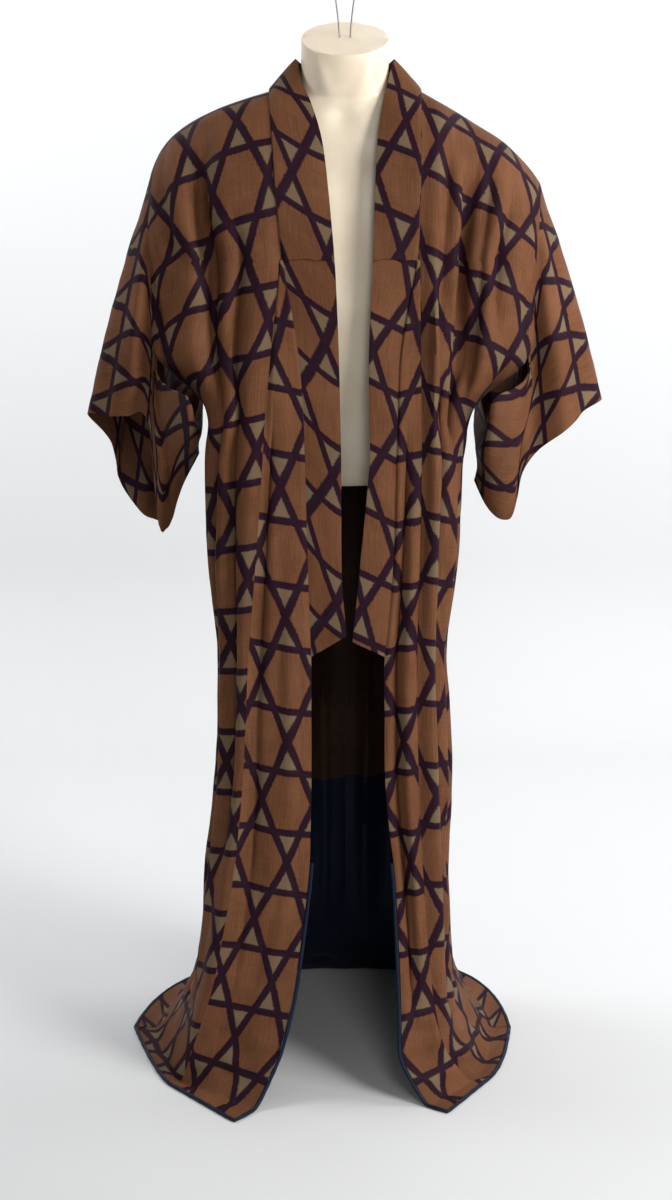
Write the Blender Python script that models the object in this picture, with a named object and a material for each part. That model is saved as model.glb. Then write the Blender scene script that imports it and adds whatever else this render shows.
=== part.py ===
"""A lined kimono worn open on a limbless torso form, in metres, +Z up.

The front faces -Y and the wearer's left is +X. The garment is built as it is sewn:
two body strips (each a back and a front, cut here at the shoulder fold), two front
overlaps, two sleeves, a collar with an over-collar, the lining of the back where it
shows, and the padded navy hem roll. Every cloth piece is a grid of points over the
form, given its wall on both sides. x in the tables is measured outwards
from the centre back, so that one set of functions serves both sides.
"""

import math

import bmesh
import bpy
import numpy as np
from mathutils import Vector

# Driving sizes
CLOTH = 0.002                 # wall of the outer silk with its backing
LINING = 0.0012               # wall of the lining silk
COLLAR_CLOTH = 0.003          # the collar is folded double
SEAM_GAP = 0.0003             # clear space between pieces that are sewn together
FORM_GAP = 0.0022             # the form's shoulder lies this far below the cloth's middle
CHEST_Z = 1.15                # here the cloth leaves the shoulder and hangs
ROLL_RADIUS = 0.0028          # padded roll along the hem
ROLL_TOP_Z = 0.33             # up to here it also edges the overlaps
ROLL_END_GAP = 0.0006
WIRE_RADIUS = 0.0012
LINING_JOIN_Z = 0.36          # the upper lining meets the hem lining
LINING_TOP_Z = 0.93
SLEEVE_GAP = 0.0006           # clear space between body and sleeve at the armhole
ARMPIT_Z = 1.02               # the armhole seam ends here; below it both edges are open
COLLAR_TIP_Z = 0.62           # lower end of the collar
CENTRE = (0.0005, 0.0034)      # brings the middle of the whole over the origin

RIGHT, LEFT = "right", "left"
SIGN = {RIGHT: -1.0, LEFT: 1.0}

# The shoulder fold, from the collar seam out to the sleeve seam: x, z
SHOULDER = {
    RIGHT: [(0.100, 1.362), (0.140, 1.350), (0.175, 1.337), (0.210, 1.319),
            (0.236, 1.298), (0.252, 1.273), (0.262, 1.246)],
    LEFT: [(0.100, 1.362), (0.140, 1.340), (0.175, 1.319), (0.208, 1.299),
           (0.231, 1.279), (0.247, 1.262), (0.260, 1.245)],
}

# The hanging cloth, a row for each height. edge: collar seam or free edge of the overlap;
# seam: overlap seam; side: outermost line, sleeve seam above and side seam below.
LEVEL_COLUMNS = ("z", "edge_x", "edge_y", "seam_x", "seam_y", "corner_x", "corner_y",
                 "side_x", "side_front_y", "side_back_y", "back_y")
LEVELS = {
    RIGHT: [(1.15, 0.0815, -0.1195, 0.084, -0.120, 0.215, -0.120, 0.258, -0.066, 0.066, 0.114),
            (1.02, 0.060, -0.127, 0.098, -0.127, 0.215, -0.127, 0.253, -0.064, 0.064, 0.117),
            (0.95, 0.055, -0.129, 0.105, -0.129, 0.184, -0.129, 0.190, -0.040, 0.040, 0.118),
            (0.88, 0.053, -0.130, 0.110, -0.130, 0.185, -0.130, 0.187, -0.001, 0.001, 0.119),
            (0.75, 0.050, -0.132, 0.120, -0.132, 0.178, -0.132, 0.178, -0.001, 0.001, 0.121),
            (0.62, 0.046, -0.135, 0.131, -0.135, 0.165, -0.135, 0.165, -0.001, 0.001, 0.123),
            (0.45, 0.046, -0.142, 0.140, -0.141, 0.170, -0.141, 0.170, -0.001, 0.001, 0.126),
            (0.30, 0.051, -0.150, 0.156, -0.148, 0.187, -0.148, 0.187, -0.001, 0.001, 0.131),
            (0.16, 0.069, -0.171, 0.182, -0.158, 0.206, -0.158, 0.206, -0.001, 0.001, 0.146),
            (0.06, 0.094, -0.199, 0.212, -0.160, 0.232, -0.145, 0.240, 0.004, 0.006, 0.172)],
    LEFT: [(1.15, 0.0945, -0.1195, 0.097, -0.120, 0.215, -0.120, 0.253, -0.066, 0.066, 0.114),
           (1.02, 0.072, -0.127, 0.100, -0.127, 0.215, -0.127, 0.247, -0.064, 0.064, 0.117),
           (0.95, 0.070, -0.129, 0.101, -0.129, 0.168, -0.129, 0.178, -0.040, 0.040, 0.118),
           (0.88, 0.068, -0.130, 0.102, -0.130, 0.160, -0.130, 0.164, -0.001, 0.001, 0.119),
           (0.75, 0.065, -0.132, 0.100, -0.132, 0.145, -0.132, 0.145, -0.001, 0.001, 0.121),
           (0.62, 0.054, -0.135, 0.097, -0.135, 0.129, -0.135, 0.129, -0.001, 0.001, 0.123),
           (0.45, 0.055, -0.142, 0.101, -0.141, 0.137, -0.141, 0.137, -0.001, 0.001, 0.126),
           (0.30, 0.070, -0.150, 0.109, -0.148, 0.135, -0.148, 0.135, -0.001, 0.001, 0.131),
           (0.16, 0.077, -0.171, 0.120, -0.160, 0.147, -0.160, 0.147, -0.001, 0.001, 0.146),
           (0.06, 0.080, -0.203, 0.140, -0.170, 0.168, -0.145, 0.180, 0.004, 0.006, 0.172)],
}
# The hem line on the floor, in the same columns
HEM = {
    RIGHT: (0.0, 0.150, -0.269, 0.247, -0.163, 0.272, -0.120, 0.311, 0.010, 0.015, 0.262),
    LEFT: (0.0, 0.140, -0.244, 0.203, -0.148, 0.228, -0.105, 0.243, 0.010, 0.015, 0.262),
}
# How the cloth breaks on the floor: share of the way out to the hem, height over it
FLOOR_BREAK = [(0.35, 0.020), (0.62, 0.0), (0.82, 0.0), (1.0, 0.0)]

# Long folds: place across the panel above and below, half width (shares of the panel),
# depth in metres (+ stands proud, - is a valley), and the heights between which it runs
FOLD_COLUMNS = ("at_top", "at_foot", "half_width", "depth", "z_top", "z_foot")
FOLDS = {
    "front_right": [(0.52, 0.40, 0.085, -0.022, 1.33, 0.92),
                    (0.30, 0.16, 0.060, -0.012, 1.24, 0.30),
                    (0.34, 0.30, 0.060, 0.012, 1.05, 0.10),
                    (0.40, 0.44, 0.060, -0.016, 0.98, 0.06),
                    (0.56, 0.60, 0.070, 0.013, 0.95, 0.10),
                    (0.70, 0.76, 0.065, -0.012, 0.86, 0.05)],
    "front_left": [(0.36, 0.34, 0.090, -0.023, 1.31, 0.86),
                   (0.66, 0.60, 0.060, -0.010, 1.26, 1.02),
                   (0.10, 0.12, 0.050, 0.012, 1.20, 0.12),
                   (0.20, 0.25, 0.048, -0.014, 1.15, 0.06),
                   (0.36, 0.38, 0.050, 0.012, 0.88, 0.10),
                   (0.48, 0.52, 0.050, -0.015, 0.92, 0.07),
                   (0.64, 0.66, 0.055, 0.012, 0.88, 0.10),
                   (0.78, 0.80, 0.055, -0.012, 0.84, 0.06)],
    "overlap_right": [(0.30, 0.42, 0.12, 0.006, 0.80, 0.12),
                      (0.80, 0.76, 0.10, -0.008, 0.98, 0.10)],
    "overlap_left": [(0.40, 0.35, 0.14, -0.008, 0.95, 0.08),
                     (0.75, 0.72, 0.13, 0.008, 0.90, 0.12)],
    "back_right": [(0.14, 0.12, 0.060, -0.012, 1.02, 0.06),
                   (0.30, 0.29, 0.060, 0.013, 1.10, 0.10),
                   (0.45, 0.46, 0.055, -0.013, 1.18, 0.05),
                   (0.62, 0.62, 0.060, 0.012, 1.02, 0.12),
                   (0.60, 0.56, 0.060, -0.014, 1.28, 0.98),
                   (0.78, 0.78, 0.055, -0.010, 0.88, 0.06)],
    "back_left": [(0.16, 0.14, 0.060, -0.011, 0.98, 0.07),
                  (0.32, 0.30, 0.055, 0.013, 1.06, 0.12),
                  (0.46, 0.48, 0.060, -0.014, 1.15, 0.06),
                  (0.64, 0.62, 0.060, 0.011, 0.98, 0.10),
                  (0.58, 0.55, 0.060, -0.015, 1.29, 0.99),
                  (0.80, 0.78, 0.055, -0.009, 0.86, 0.05)],
}

# The collar's free edge, by the height of its seam: z of the seam, then x, y, z of the edge
COLLAR_EDGE = {
    RIGHT: [(1.362, 0.0625, 0.000, 1.402), (1.333, 0.0550, -0.034, 1.368),
            (1.304, 0.0350, -0.067, 1.324), (1.237, 0.0225, -0.104, 1.243),
            (1.150, 0.0135, -0.124, 1.151), (1.020, 0.0080, -0.132, 1.020),
            (0.880, 0.0050, -0.134, 0.880), (0.700, 0.0040, -0.136, 0.701),
            (0.620, -0.0020, -0.139, 0.650)],
    LEFT: [(1.362, 0.0625, 0.000, 1.402), (1.333, 0.0550, -0.034, 1.368),
           (1.304, 0.0450, -0.067, 1.324), (1.237, 0.0390, -0.104, 1.240),
           (1.150, 0.0370, -0.124, 1.151), (1.020, 0.0310, -0.131, 1.020),
           (0.880, 0.0320, -0.134, 0.880), (0.700, 0.0150, -0.136, 0.701),
           (0.620, 0.0100, -0.138, 0.642)],
}
NAPE_EDGE = (0.071, 1.374)    # y and z of the free edge at the centre back
OVER_COLLAR_END_Z = 1.145     # the over-collar ends at the seam row above this height

# The sleeve bag. Its front ribs run from the armhole down to the cuff or the bag's edge;
# the first lies on the sleeve's top fold, the last on its inner fold. The top of the
# first ATTACHED ribs is the body's armhole edge; the others hang free below it.
SLEEVE_COLUMNS = ("top_x", "top_y", "top_z", "foot_x", "foot_y", "foot_z",
                  "back_foot_x", "back_foot_y", "back_foot_z")
ATTACHED = 5
SLEEVES = {
    RIGHT: [(0.2665, 0.000, 1.243, 0.355, 0.000, 0.930, 0.355, 0.000, 0.930),
            (0.2655, -0.036, 1.190, 0.327, -0.042, 0.934, 0.328, 0.036, 0.885),
            (0.2625, -0.058, 1.125, 0.293, -0.055, 0.937, 0.314, 0.046, 0.822),
            (0.2590, -0.067, 1.060, 0.268, -0.048, 0.934, 0.290, 0.036, 0.788),
            (0.2570, -0.069, 1.022, 0.258, -0.028, 0.784, 0.268, 0.022, 0.778),
            (0.2530, -0.0730, 1.000, 0.243, -0.010, 0.782, 0.246, 0.006, 0.782),
            (0.2380, -0.1080, 0.985, 0.231, -0.006, 0.820, 0.231, 0.004, 0.820),
            (0.2040, -0.1300, 0.970, 0.214, -0.006, 0.856, 0.214, 0.004, 0.856),
            (0.2080, -0.010, 0.925, 0.203, -0.002, 0.876, 0.203, -0.002, 0.876)],
    LEFT: [(0.2665, 0.000, 1.243, 0.354, 0.000, 0.952, 0.354, 0.000, 0.952),
           (0.2655, -0.036, 1.190, 0.328, -0.040, 0.940, 0.330, 0.036, 0.944),
           (0.2600, -0.058, 1.125, 0.292, -0.050, 0.913, 0.296, 0.044, 0.920),
           (0.2550, -0.067, 1.060, 0.264, -0.046, 0.888, 0.267, 0.036, 0.896),
           (0.2520, -0.069, 1.022, 0.245, -0.030, 0.856, 0.247, 0.024, 0.862),
           (0.2470, -0.0730, 1.000, 0.235, -0.009, 0.792, 0.236, 0.007, 0.794),
           (0.2310, -0.1080, 0.985, 0.216, -0.005, 0.785, 0.216, 0.004, 0.785),
           (0.1930, -0.1300, 0.968, 0.195, -0.005, 0.806, 0.195, 0.004, 0.806),
           (0.1960, -0.010, 0.915, 0.180, -0.002, 0.838, 0.180, -0.002, 0.838)],
}
# Folds of a sleeve: rib number at the top and foot, half width in ribs, depth
SLEEVE_FOLDS = {
    RIGHT: [(3.3, 3.2, 0.50, -0.010), (2.0, 1.8, 0.55, 0.008), (1.0, 0.9, 0.45, -0.005),
            (12.4, 12.8, 0.55, -0.010), (13.8, 14.0, 0.55, 0.007)],
    LEFT: [(3.2, 3.0, 0.50, -0.009), (2.2, 1.9, 0.55, 0.008), (1.1, 1.0, 0.45, -0.005),
           (12.6, 13.0, 0.55, -0.009), (13.8, 14.1, 0.55, 0.007)],
}

# The form, a ring for each height: z, half width, front y, back y
FORM_RINGS = [(0.845, 0.126, -0.084, 0.084), (0.856, 0.132, -0.090, 0.088),
              (0.920, 0.134, -0.098, 0.092), (1.000, 0.141, -0.105, 0.096),
              (1.080, 0.156, -0.108, 0.100), (1.150, 0.178, -0.105, 0.102),
              (1.200, 0.200, -0.096, 0.096), (1.235, 0.213, -0.086, 0.088),
              (1.262, 0.218, -0.076, 0.078), (1.281, 0.216, -0.067, 0.070)]
# Above them the half width follows the shoulder fold: its x there, front y, back y, and
# how pointed the ring's front is (1 is an ellipse)
FORM_SHOULDER_RINGS = [(0.202, -0.064, 0.056, 1.3), (0.184, -0.060, 0.048, 1.5),
                       (0.160, -0.056, 0.042, 1.7), (0.138, -0.052, 0.036, 1.8),
                       (0.116, -0.050, 0.030, 1.8)]
# The neck: z, half width, front y, back y, pointedness, then its cut, leaning forward
FORM_NECK_RINGS = [(1.356, 0.080, -0.050, 0.030, 1.4), (1.362, 0.0665, -0.052, 0.040, 1.1),
                   (1.374, 0.0600, -0.054, 0.050, 1.0), (1.400, 0.0585, -0.057, 0.057, 1.0)]
NECK_CUT_Z = 1.431
NECK_CUT_TILT = math.radians(22)
# The hanging wire: half width and height over the neck's cut, from the foot to the bow
WIRE_ROUTE = [(0.0070, 0.0009), (0.0085, 0.020), (0.0110, 0.042), (0.0130, 0.058),
              (0.0105, 0.071), (0.0000, 0.078)]

# Grid sizes
ACROSS = {"front": 20, "back": 14, "overlap": 7}
COLLAR_ACROSS = 3
FREE_COLUMNS = 13             # of a sleeve, between the two ends of its armhole seam
SLEEVE_ROWS = 9
FORM_SIDES = 26
CORD_SIDES = 8
ARCH_ANGLES = [math.radians(a) for a in (0, 10, 20, 30, 38, 52, 70, 90)]
NAPE_ROW = 4                  # the arch row at which the back reaches the centre
EXTRA_ROWS = [1, 0, 0, 0, 0, 1, 1, 0, 1, 0, 0, 0, 0]  # put between the hanging rows


def clear_scene():
    for item in list(bpy.data.objects):
        bpy.data.objects.remove(item, do_unlink=True)


def smooth(t):
    t = np.clip(t, 0.0, 1.0)
    return t * t * (3 - 2 * t)


def curve_through(values, steps, rounded=True):
    """Points on a smooth curve through rows of numbers, at these row positions.

    A rounded curve bulges between its rows; the other kind never passes beyond them.
    """
    rows = np.asarray(values, dtype=float)
    slope = np.diff(rows, axis=0)
    before, after = np.vstack([slope[:1], slope]), np.vstack([slope, slope[-1:]])
    if rounded:
        tangent = (before + after) / 2
    else:
        both = before + after
        safe = np.where(np.abs(both) < 1e-12, 1.0, both)
        tangent = np.where(before * after > 0, 2 * before * after / safe, 0.0)
    steps = np.clip(np.asarray(steps, dtype=float), 0.0, len(rows) - 1)
    start = np.minimum(steps.astype(int), len(rows) - 2)
    t = (steps - start)[:, None]
    a, b, ta, tb = rows[start], rows[start + 1], tangent[start], tangent[start + 1]
    return ((2 * t ** 3 - 3 * t ** 2 + 1) * a + (t ** 3 - 2 * t ** 2 + t) * ta
            + (3 * t ** 2 - 2 * t ** 3) * b + (t ** 3 - t ** 2) * tb)


def round_the_corner(start, corner, end, share, fullness=0.72):
    """Plan points from start to end, pulled towards the corner, evenly spaced."""
    start, corner, end = (np.array(p, dtype=float) for p in (start, corner, end))
    t = np.linspace(0, 1, 81)[:, None]
    one, two = start + (corner - start) * fullness, end + (corner - end) * fullness
    line = ((1 - t) ** 3 * start + 3 * (1 - t) ** 2 * t * one
            + 3 * (1 - t) * t ** 2 * two + t ** 3 * end)
    way = np.concatenate([[0], np.cumsum(np.linalg.norm(np.diff(line, axis=0), axis=1))])
    return np.column_stack([np.interp(share * way[-1], way, line[:, k]) for k in (0, 1)])


def plan_row(row, part, share):
    """One level of a panel in plan: x and y from its inner to its outer line."""
    level = dict(zip(LEVEL_COLUMNS, row))
    if part == "overlap":
        inner = np.array([level["edge_x"], level["edge_y"]])
        outer = np.array([level["seam_x"], level["seam_y"]])
        return inner + np.outer(share, outer - inner)
    if part == "front":
        start, end = (level["seam_x"], level["seam_y"]), (level["side_x"], level["side_front_y"])
    else:
        start, end = (0.0, level["back_y"]), (level["side_x"], level["side_back_y"])
    corner = (level["corner_x"], level["corner_y" if part == "front" else "back_y"])
    return round_the_corner(start, corner, end, share)


def arch_rows(side, part, share):
    """Rows over the shoulder, from its fold down to the chest level."""
    fold = curve_through(SHOULDER[side], share * (len(SHOULDER[side]) - 1))
    chest = plan_row(LEVELS[side][0], part, share)
    rows = []
    for angle in ARCH_ANGLES:
        across = 1 - math.cos(angle)
        if part == "back":
            turn = min(angle / ARCH_ANGLES[NAPE_ROW], 1.0)
            across = 1 - math.sqrt(1 - turn ** 2)
        x = fold[:, 0] + (chest[:, 0] - fold[:, 0]) * across
        z = CHEST_Z + (fold[:, 1] - CHEST_Z) * math.cos(angle)
        rows.append(np.column_stack([x, chest[:, 1] * math.sin(angle), z]))
    return rows


def hanging_rows(side, part, share, floor_z):
    """Rows from below the chest down to the hem lying on the floor."""
    rows = []
    for level in LEVELS[side][1:]:
        plan = plan_row(level, part, share)
        rows.append(np.column_stack([plan, np.full(len(share), level[0])]))
    last = rows[-1]
    hem = plan_row(HEM[side], part, share)
    for reach, height in FLOOR_BREAK:
        plan = last[:, :2] + (hem - last[:, :2]) * reach
        rows.append(np.column_stack([plan, np.full(len(share), floor_z + height)]))
    return rows


def refine_rows(rows, extra):
    """Put extra rows between the given ones, on a smooth curve through them."""
    rows = np.array(rows)
    steps = []
    for i, count in enumerate(extra):
        steps += [i + k / (count + 1) for k in range(count + 1)]
    steps.append(len(rows) - 1)
    flat = curve_through(rows.reshape(len(rows), -1), steps, rounded=False)
    return flat.reshape(len(steps), rows.shape[1], 3)


def square_to(grid, part):
    """Unit vectors square to a grid, pointing out of the garment."""
    normal = np.cross(np.gradient(grid, axis=0), np.gradient(grid, axis=1))
    normal /= np.maximum(np.linalg.norm(normal, axis=2, keepdims=True), 1e-9)
    return -normal if part in ("back", "sleeve") else normal


def fold_depth(name, share, z):
    """Sum of the long folds of a panel at one row, in metres outwards."""
    depth = np.zeros(len(share))
    for fold in FOLDS[name]:
        f = dict(zip(FOLD_COLUMNS, fold))
        way = np.clip((f["z_top"] - z) / (f["z_top"] - f["z_foot"]), 0.0, 1.0)
        place = f["at_top"] + (f["at_foot"] - f["at_top"]) * way
        wander = 0.012 * np.sin(9.0 * z + 20.0 * f["at_top"])
        strength = smooth((f["z_top"] - z) / 0.14) * smooth((z - f["z_foot"]) / 0.12)
        depth += f["depth"] * strength * np.exp(-((share - place - wander) / f["half_width"]) ** 2)
    # the folds die out at the seams
    return depth * smooth(share / 0.10) * smooth((1 - share) / 0.10)


def panel_grid(side, part):
    """Points of a front, back or overlap: rows from shoulder to hem, columns outwards."""
    share = np.linspace(0, 1, ACROSS[part])
    floor_z = CLOTH / 2
    if part == "back":
        floor_z += LINING + SEAM_GAP
    chest = plan_row(LEVELS[side][0], part, share)
    hanging = [np.column_stack([chest, np.full(len(share), CHEST_Z)])]
    grid = refine_rows(hanging + hanging_rows(side, part, share, floor_z), EXTRA_ROWS)
    if part != "overlap":
        grid = np.concatenate([arch_rows(side, part, share)[:-1], grid])
    depth = np.array([fold_depth(f"{part}_{side}", share, row[:, 2]) for row in grid])
    grid += square_to(grid, part) * (1.0, 1.0, 0.2) * depth[:, :, None]
    grid[:, :, 2] = np.maximum(grid[:, :, 2], floor_z)
    return grid


def share_normals(*borders):
    """Give the borders of two sewn pieces the same direction, so their walls meet."""
    mean = sum(border.copy() for border in borders)
    mean /= np.maximum(np.linalg.norm(mean, axis=1, keepdims=True), 1e-9)
    for border in borders:
        lean = np.sum(border * mean, axis=1, keepdims=True)
        border[:] = mean / np.clip(lean, 0.6, 1.0)


def body_normals(grids):
    """Directions for the walls of both body strips and overlaps, matched at their seams."""
    normals = {key: square_to(grid, key[0]) for key, grid in grids.items()}
    chest = len(ARCH_ANGLES) - 1
    for side in (RIGHT, LEFT):
        front, back, lap = (normals[part, side] for part in ("front", "back", "overlap"))
        share_normals(front[chest:, 0], lap[:, -1])
        joined = np.argmax(grids["front", side][:, -1, 2] < 0.89)
        share_normals(front[joined:, -1], back[joined:, -1])
        for panel, grid in ((front, grids["front", side]), (back, grids["back", side])):
            along = np.gradient(grid[0], axis=0)
            panel[0] = np.column_stack([-along[:, 2], 0 * along[:, 1], along[:, 0]])
            panel[0] /= np.linalg.norm(panel[0], axis=1, keepdims=True)
        centre = back[NAPE_ROW:, 0]
        centre[:, 0] = 0.0
        centre /= np.linalg.norm(centre, axis=1, keepdims=True)
    return normals


def trimmed(grid, inner=SEAM_GAP / 2, outer=SEAM_GAP / 2, first=0.0, last=0.0):
    """Pull the border of a grid back into the piece, to leave room for the seam."""
    grid = grid.copy()
    for border, within, gap in ((grid[:, 0], grid[:, 1], inner),
                                (grid[:, -1], grid[:, -2], outer),
                                (grid[0], grid[1], first), (grid[-1], grid[-2], last)):
        way = within - border
        border += way / np.maximum(np.linalg.norm(way, axis=1, keepdims=True), 1e-6) * gap
    return grid


def mirrored(points, side):
    return points * np.array([SIGN[side], 1.0, 1.0])


def collar_side(side, grids, normals):
    """Seam, free edge and seam directions of one side, from the shoulder to the tip."""
    front, lap = grids["front", side], grids["overlap", side]
    chest = len(ARCH_ANGLES) - 1
    tip = int(np.argmin(np.abs(lap[:, 0, 2] - COLLAR_TIP_Z))) + 1
    seam = np.vstack([front[:chest, 0], lap[:tip, 0]])
    leans = [normals["front", side][:chest, 0], normals["overlap", side][:tip, 0]]
    table = np.array(COLLAR_EDGE[side])
    place = np.interp(-seam[:, 2], -table[:, 0], np.arange(len(table)))
    free = curve_through(table[:, 1:], place, rounded=False)
    return mirrored(seam, side), mirrored(free, side), leans


def collar_grid(grids, normals):
    """The collar from the left tip over the nape to the right tip, and its directions."""
    left, left_free, left_leans = collar_side(LEFT, grids, normals)
    right, right_free, right_leans = collar_side(RIGHT, grids, normals)
    nape = [mirrored(grids["back", side][1:NAPE_ROW + 1, 0], side) for side in (LEFT, RIGHT)]
    seam = np.vstack([left[::-1], nape[0], nape[1][:-1][::-1], right])
    start, turn_rows = len(left), 2 * NAPE_ROW - 1
    angle = np.linspace(0, math.pi, turn_rows + 2)[1:-1]
    top = left_free[0]
    back_free = np.column_stack([top[0] * np.cos(angle), NAPE_EDGE[0] * np.sin(angle),
                                 NAPE_EDGE[1] + (top[2] - NAPE_EDGE[1]) * np.cos(angle) ** 2])
    free = np.vstack([left_free[::-1], back_free, right_free])
    share = np.linspace(0, 1, COLLAR_ACROSS)
    grid = np.array([s + np.outer(share, f - s) for s, f in zip(seam, free)])
    direction = square_to(grid, "collar")
    match_collar(direction[start - 1::-1, 0], left_leans, SIGN[LEFT])
    match_collar(direction[start + turn_rows:, 0], right_leans, SIGN[RIGHT])
    for step in range(NAPE_ROW):
        for side, row in ((LEFT, start + step), (RIGHT, start + turn_rows - 1 - step)):
            lean = normals["back", side][step + 1:step + 2, 0]
            match_collar(direction[row:row + 1, 0], [lean], SIGN[side])
    return grid, direction


def match_collar(direction, leans, sign):
    """Share the collar's directions at its seam with the panels it is sewn to."""
    done = 0
    for lean in leans:
        own = direction[done:done + len(lean)]
        turned = own * (sign, 1.0, 1.0)
        share_normals(turned, lean)
        own[:] = turned * (sign, 1.0, 1.0)
        done += len(lean)


def armhole_line(panel):
    """The body's edge that a sleeve is sewn to, shoulder to armpit, a seam's width out."""
    end = int(np.argmin(np.abs(panel[:, -1, 2] - ARMPIT_Z))) + 1
    away = panel[:end, -1] - panel[:end, -2]
    away /= np.linalg.norm(away, axis=1, keepdims=True)
    return panel[:end, -1] + away * SLEEVE_GAP


def sleeve_grid(side, grids):
    """The sleeve bag as a tube: columns round it, rows from armhole to cuff."""
    lines = [armhole_line(grids[part, side]) for part in ("front", "back")]
    lines[1][0] = lines[0][0]
    sewn = len(lines[0])
    way = np.cumsum(np.linalg.norm(np.diff(lines[0], axis=0), axis=1))
    place = np.concatenate([[0], way / way[-1]]) * (ATTACHED - 1)
    table = SLEEVES[side]
    front = [(row[:3], row[3:6]) for row in table]
    back = [((row[0], -row[1], row[2]), row[6:9]) for row in table[1:-1]][::-1]
    ribs = np.array(front + back)
    count = len(ribs)
    ribs[ATTACHED - 1, 0], ribs[count - ATTACHED + 1, 0] = lines[0][-1], lines[1][-1]
    wrapped = np.concatenate([ribs[-2:], ribs, ribs[:3]]).reshape(count + 5, 6)
    free = np.linspace(ATTACHED - 1, count - ATTACHED + 1, FREE_COLUMNS + 2)[1:-1]
    steps = np.concatenate([place, free, (count - place[1:])[::-1]])
    ends = curve_through(wrapped, steps + 2).reshape(-1, 2, 3)
    ends[:sewn, 0] = lines[0]
    ends[-(sewn - 1):, 0] = lines[1][1:][::-1]
    down = np.linspace(0, 1, SLEEVE_ROWS)
    grid = np.array([ends[:, 0] + (ends[:, 1] - ends[:, 0]) * t for t in down])
    out = grid - grid.mean(axis=1, keepdims=True)
    out[:, :, 2] = 0.0
    out /= np.maximum(np.linalg.norm(out, axis=2, keepdims=True), 1e-6)
    bag = (steps > ATTACHED - 0.4) & (steps < count - ATTACHED + 0.4)
    for row, t in enumerate(down):
        depth = np.full(len(steps), 0.006 * math.sin(math.pi * t))
        for top, foot, width, size in SLEEVE_FOLDS[side]:
            off = steps - (top + (foot - top) * t)
            depth += size * smooth(t / 0.4) * np.exp(-(off / width) ** 2)
        depth *= smooth(t / 0.25)
        # the bag's two layers come together at its lower edge
        depth *= np.where(bag, 1 - smooth((t - 0.4) / 0.4), 1.0)
        grid[row] += out[row] * depth[:, None]
    return grid


def sleeve_with_normals(side, grids, normals):
    """A sleeve and the directions of its wall, the armhole's shared with the body's."""
    grid = sleeve_grid(side, grids)
    around = (np.roll(grid, -1, axis=1) - np.roll(grid, 1, axis=1)) / 2
    lean = np.cross(around, np.gradient(grid, axis=0))
    lean /= np.maximum(np.linalg.norm(lean, axis=2, keepdims=True), 1e-9)
    sewn = (grid.shape[1] - FREE_COLUMNS + 1) // 2
    lean[0, 0] = normals["front", side][0, -1]
    share_normals(lean[0, 1:sewn], normals["front", side][1:sewn, -1])
    share_normals(lean[0, :-sewn:-1], normals["back", side][1:sewn, -1])
    return grid, lean


def hem_roll_path(side, part, grid):
    """Middle of the padded roll: just outside the hem, and up the overlap's free edge."""
    edge = grid[-1, :, :2]
    along = np.gradient(edge, axis=0)
    out = np.column_stack([-along[:, 1], along[:, 0]])
    out /= np.linalg.norm(out, axis=1, keepdims=True)
    out *= np.sign(np.sum(out * (edge - grid[-2, :, :2]), axis=1, keepdims=True))
    off = ROLL_RADIUS + SEAM_GAP + 0.0001
    line = np.column_stack([edge + out * off, np.full(len(edge), ROLL_RADIUS)])
    if part == "overlap":
        low = grid[:-1, 0, 2] < ROLL_TOP_Z
        rise, inner = grid[:-1][low][:, 0], grid[:-1][low][:, 1]
        way = rise - inner
        way /= np.linalg.norm(way, axis=1, keepdims=True)
        rise = rise + way * off
        rise[:, 2] = np.maximum(rise[:, 2], ROLL_RADIUS)
        corner = np.append(edge[0] + (line[0, :2] - edge[0]) * 0.7 + way[-1, :2] * off * 0.7,
                           ROLL_RADIUS)
        line = np.vstack([rise[:-1], corner, line[1:]])
    else:
        line[0] += (line[1] - line[0]) / np.linalg.norm(line[1] - line[0]) * ROLL_END_GAP
    line[-1] += (line[-2] - line[-1]) / np.linalg.norm(line[-2] - line[-1]) * ROLL_END_GAP
    return mirrored(line, side)


def material(name, colour, roughness, sheen=0.0, metallic=0.0):
    made = bpy.data.materials.new(name)
    made.use_nodes = True
    shader = made.node_tree.nodes["Principled BSDF"]
    shader.inputs["Base Color"].default_value = (*colour, 1.0)
    shader.inputs["Roughness"].default_value = roughness
    shader.inputs["Metallic"].default_value = metallic
    shader.inputs["Sheen Weight"].default_value = sheen
    made.diffuse_color = (*colour, 1.0)
    return made


def add_solid(name, points, faces, finish):
    mesh = bpy.data.meshes.new(name)
    mesh.from_pydata([Vector(p) + Vector((*CENTRE, 0.0)) for p in points], [], faces)
    tidy = bmesh.new()
    tidy.from_mesh(mesh)
    bmesh.ops.recalc_face_normals(tidy, faces=tidy.faces)
    tidy.to_mesh(mesh)
    tidy.free()
    mesh.materials.append(finish)
    mesh.shade_smooth()
    mesh.set_sharp_from_angle(angle=math.radians(60))
    made = bpy.data.objects.new(name, mesh)
    bpy.context.scene.collection.objects.link(made)
    return made


def cloth_wall(name, grid, direction, thickness, finish, side=LEFT, closed=False):
    """A named piece of cloth: two layers of points, half a wall out and half in."""
    layers = [mirrored(grid + direction * thickness / 2 * way, side) for way in (1, -1)]
    rows, columns = grid.shape[:2]
    size = rows * columns
    points = np.vstack([layer.reshape(size, 3) for layer in layers])
    faces = []
    for r in range(rows - 1):
        for c in range(columns if closed else columns - 1):
            a, b = r * columns + c, r * columns + (c + 1) % columns
            faces.append((a, b, b + columns, a + columns))
            faces.append((a + size, a + columns + size, b + columns + size, b + size))
    for r in (0, rows - 1):
        for c in range(columns if closed else columns - 1):
            a, b = r * columns + c, r * columns + (c + 1) % columns
            faces.append((a, b, b + size, a + size))
    for c in () if closed else (0, columns - 1):
        for r in range(rows - 1):
            a, b = r * columns + c, (r + 1) * columns + c
            faces.append((a, b, b + size, a + size))
    return add_solid(name, points, faces, finish)


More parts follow.
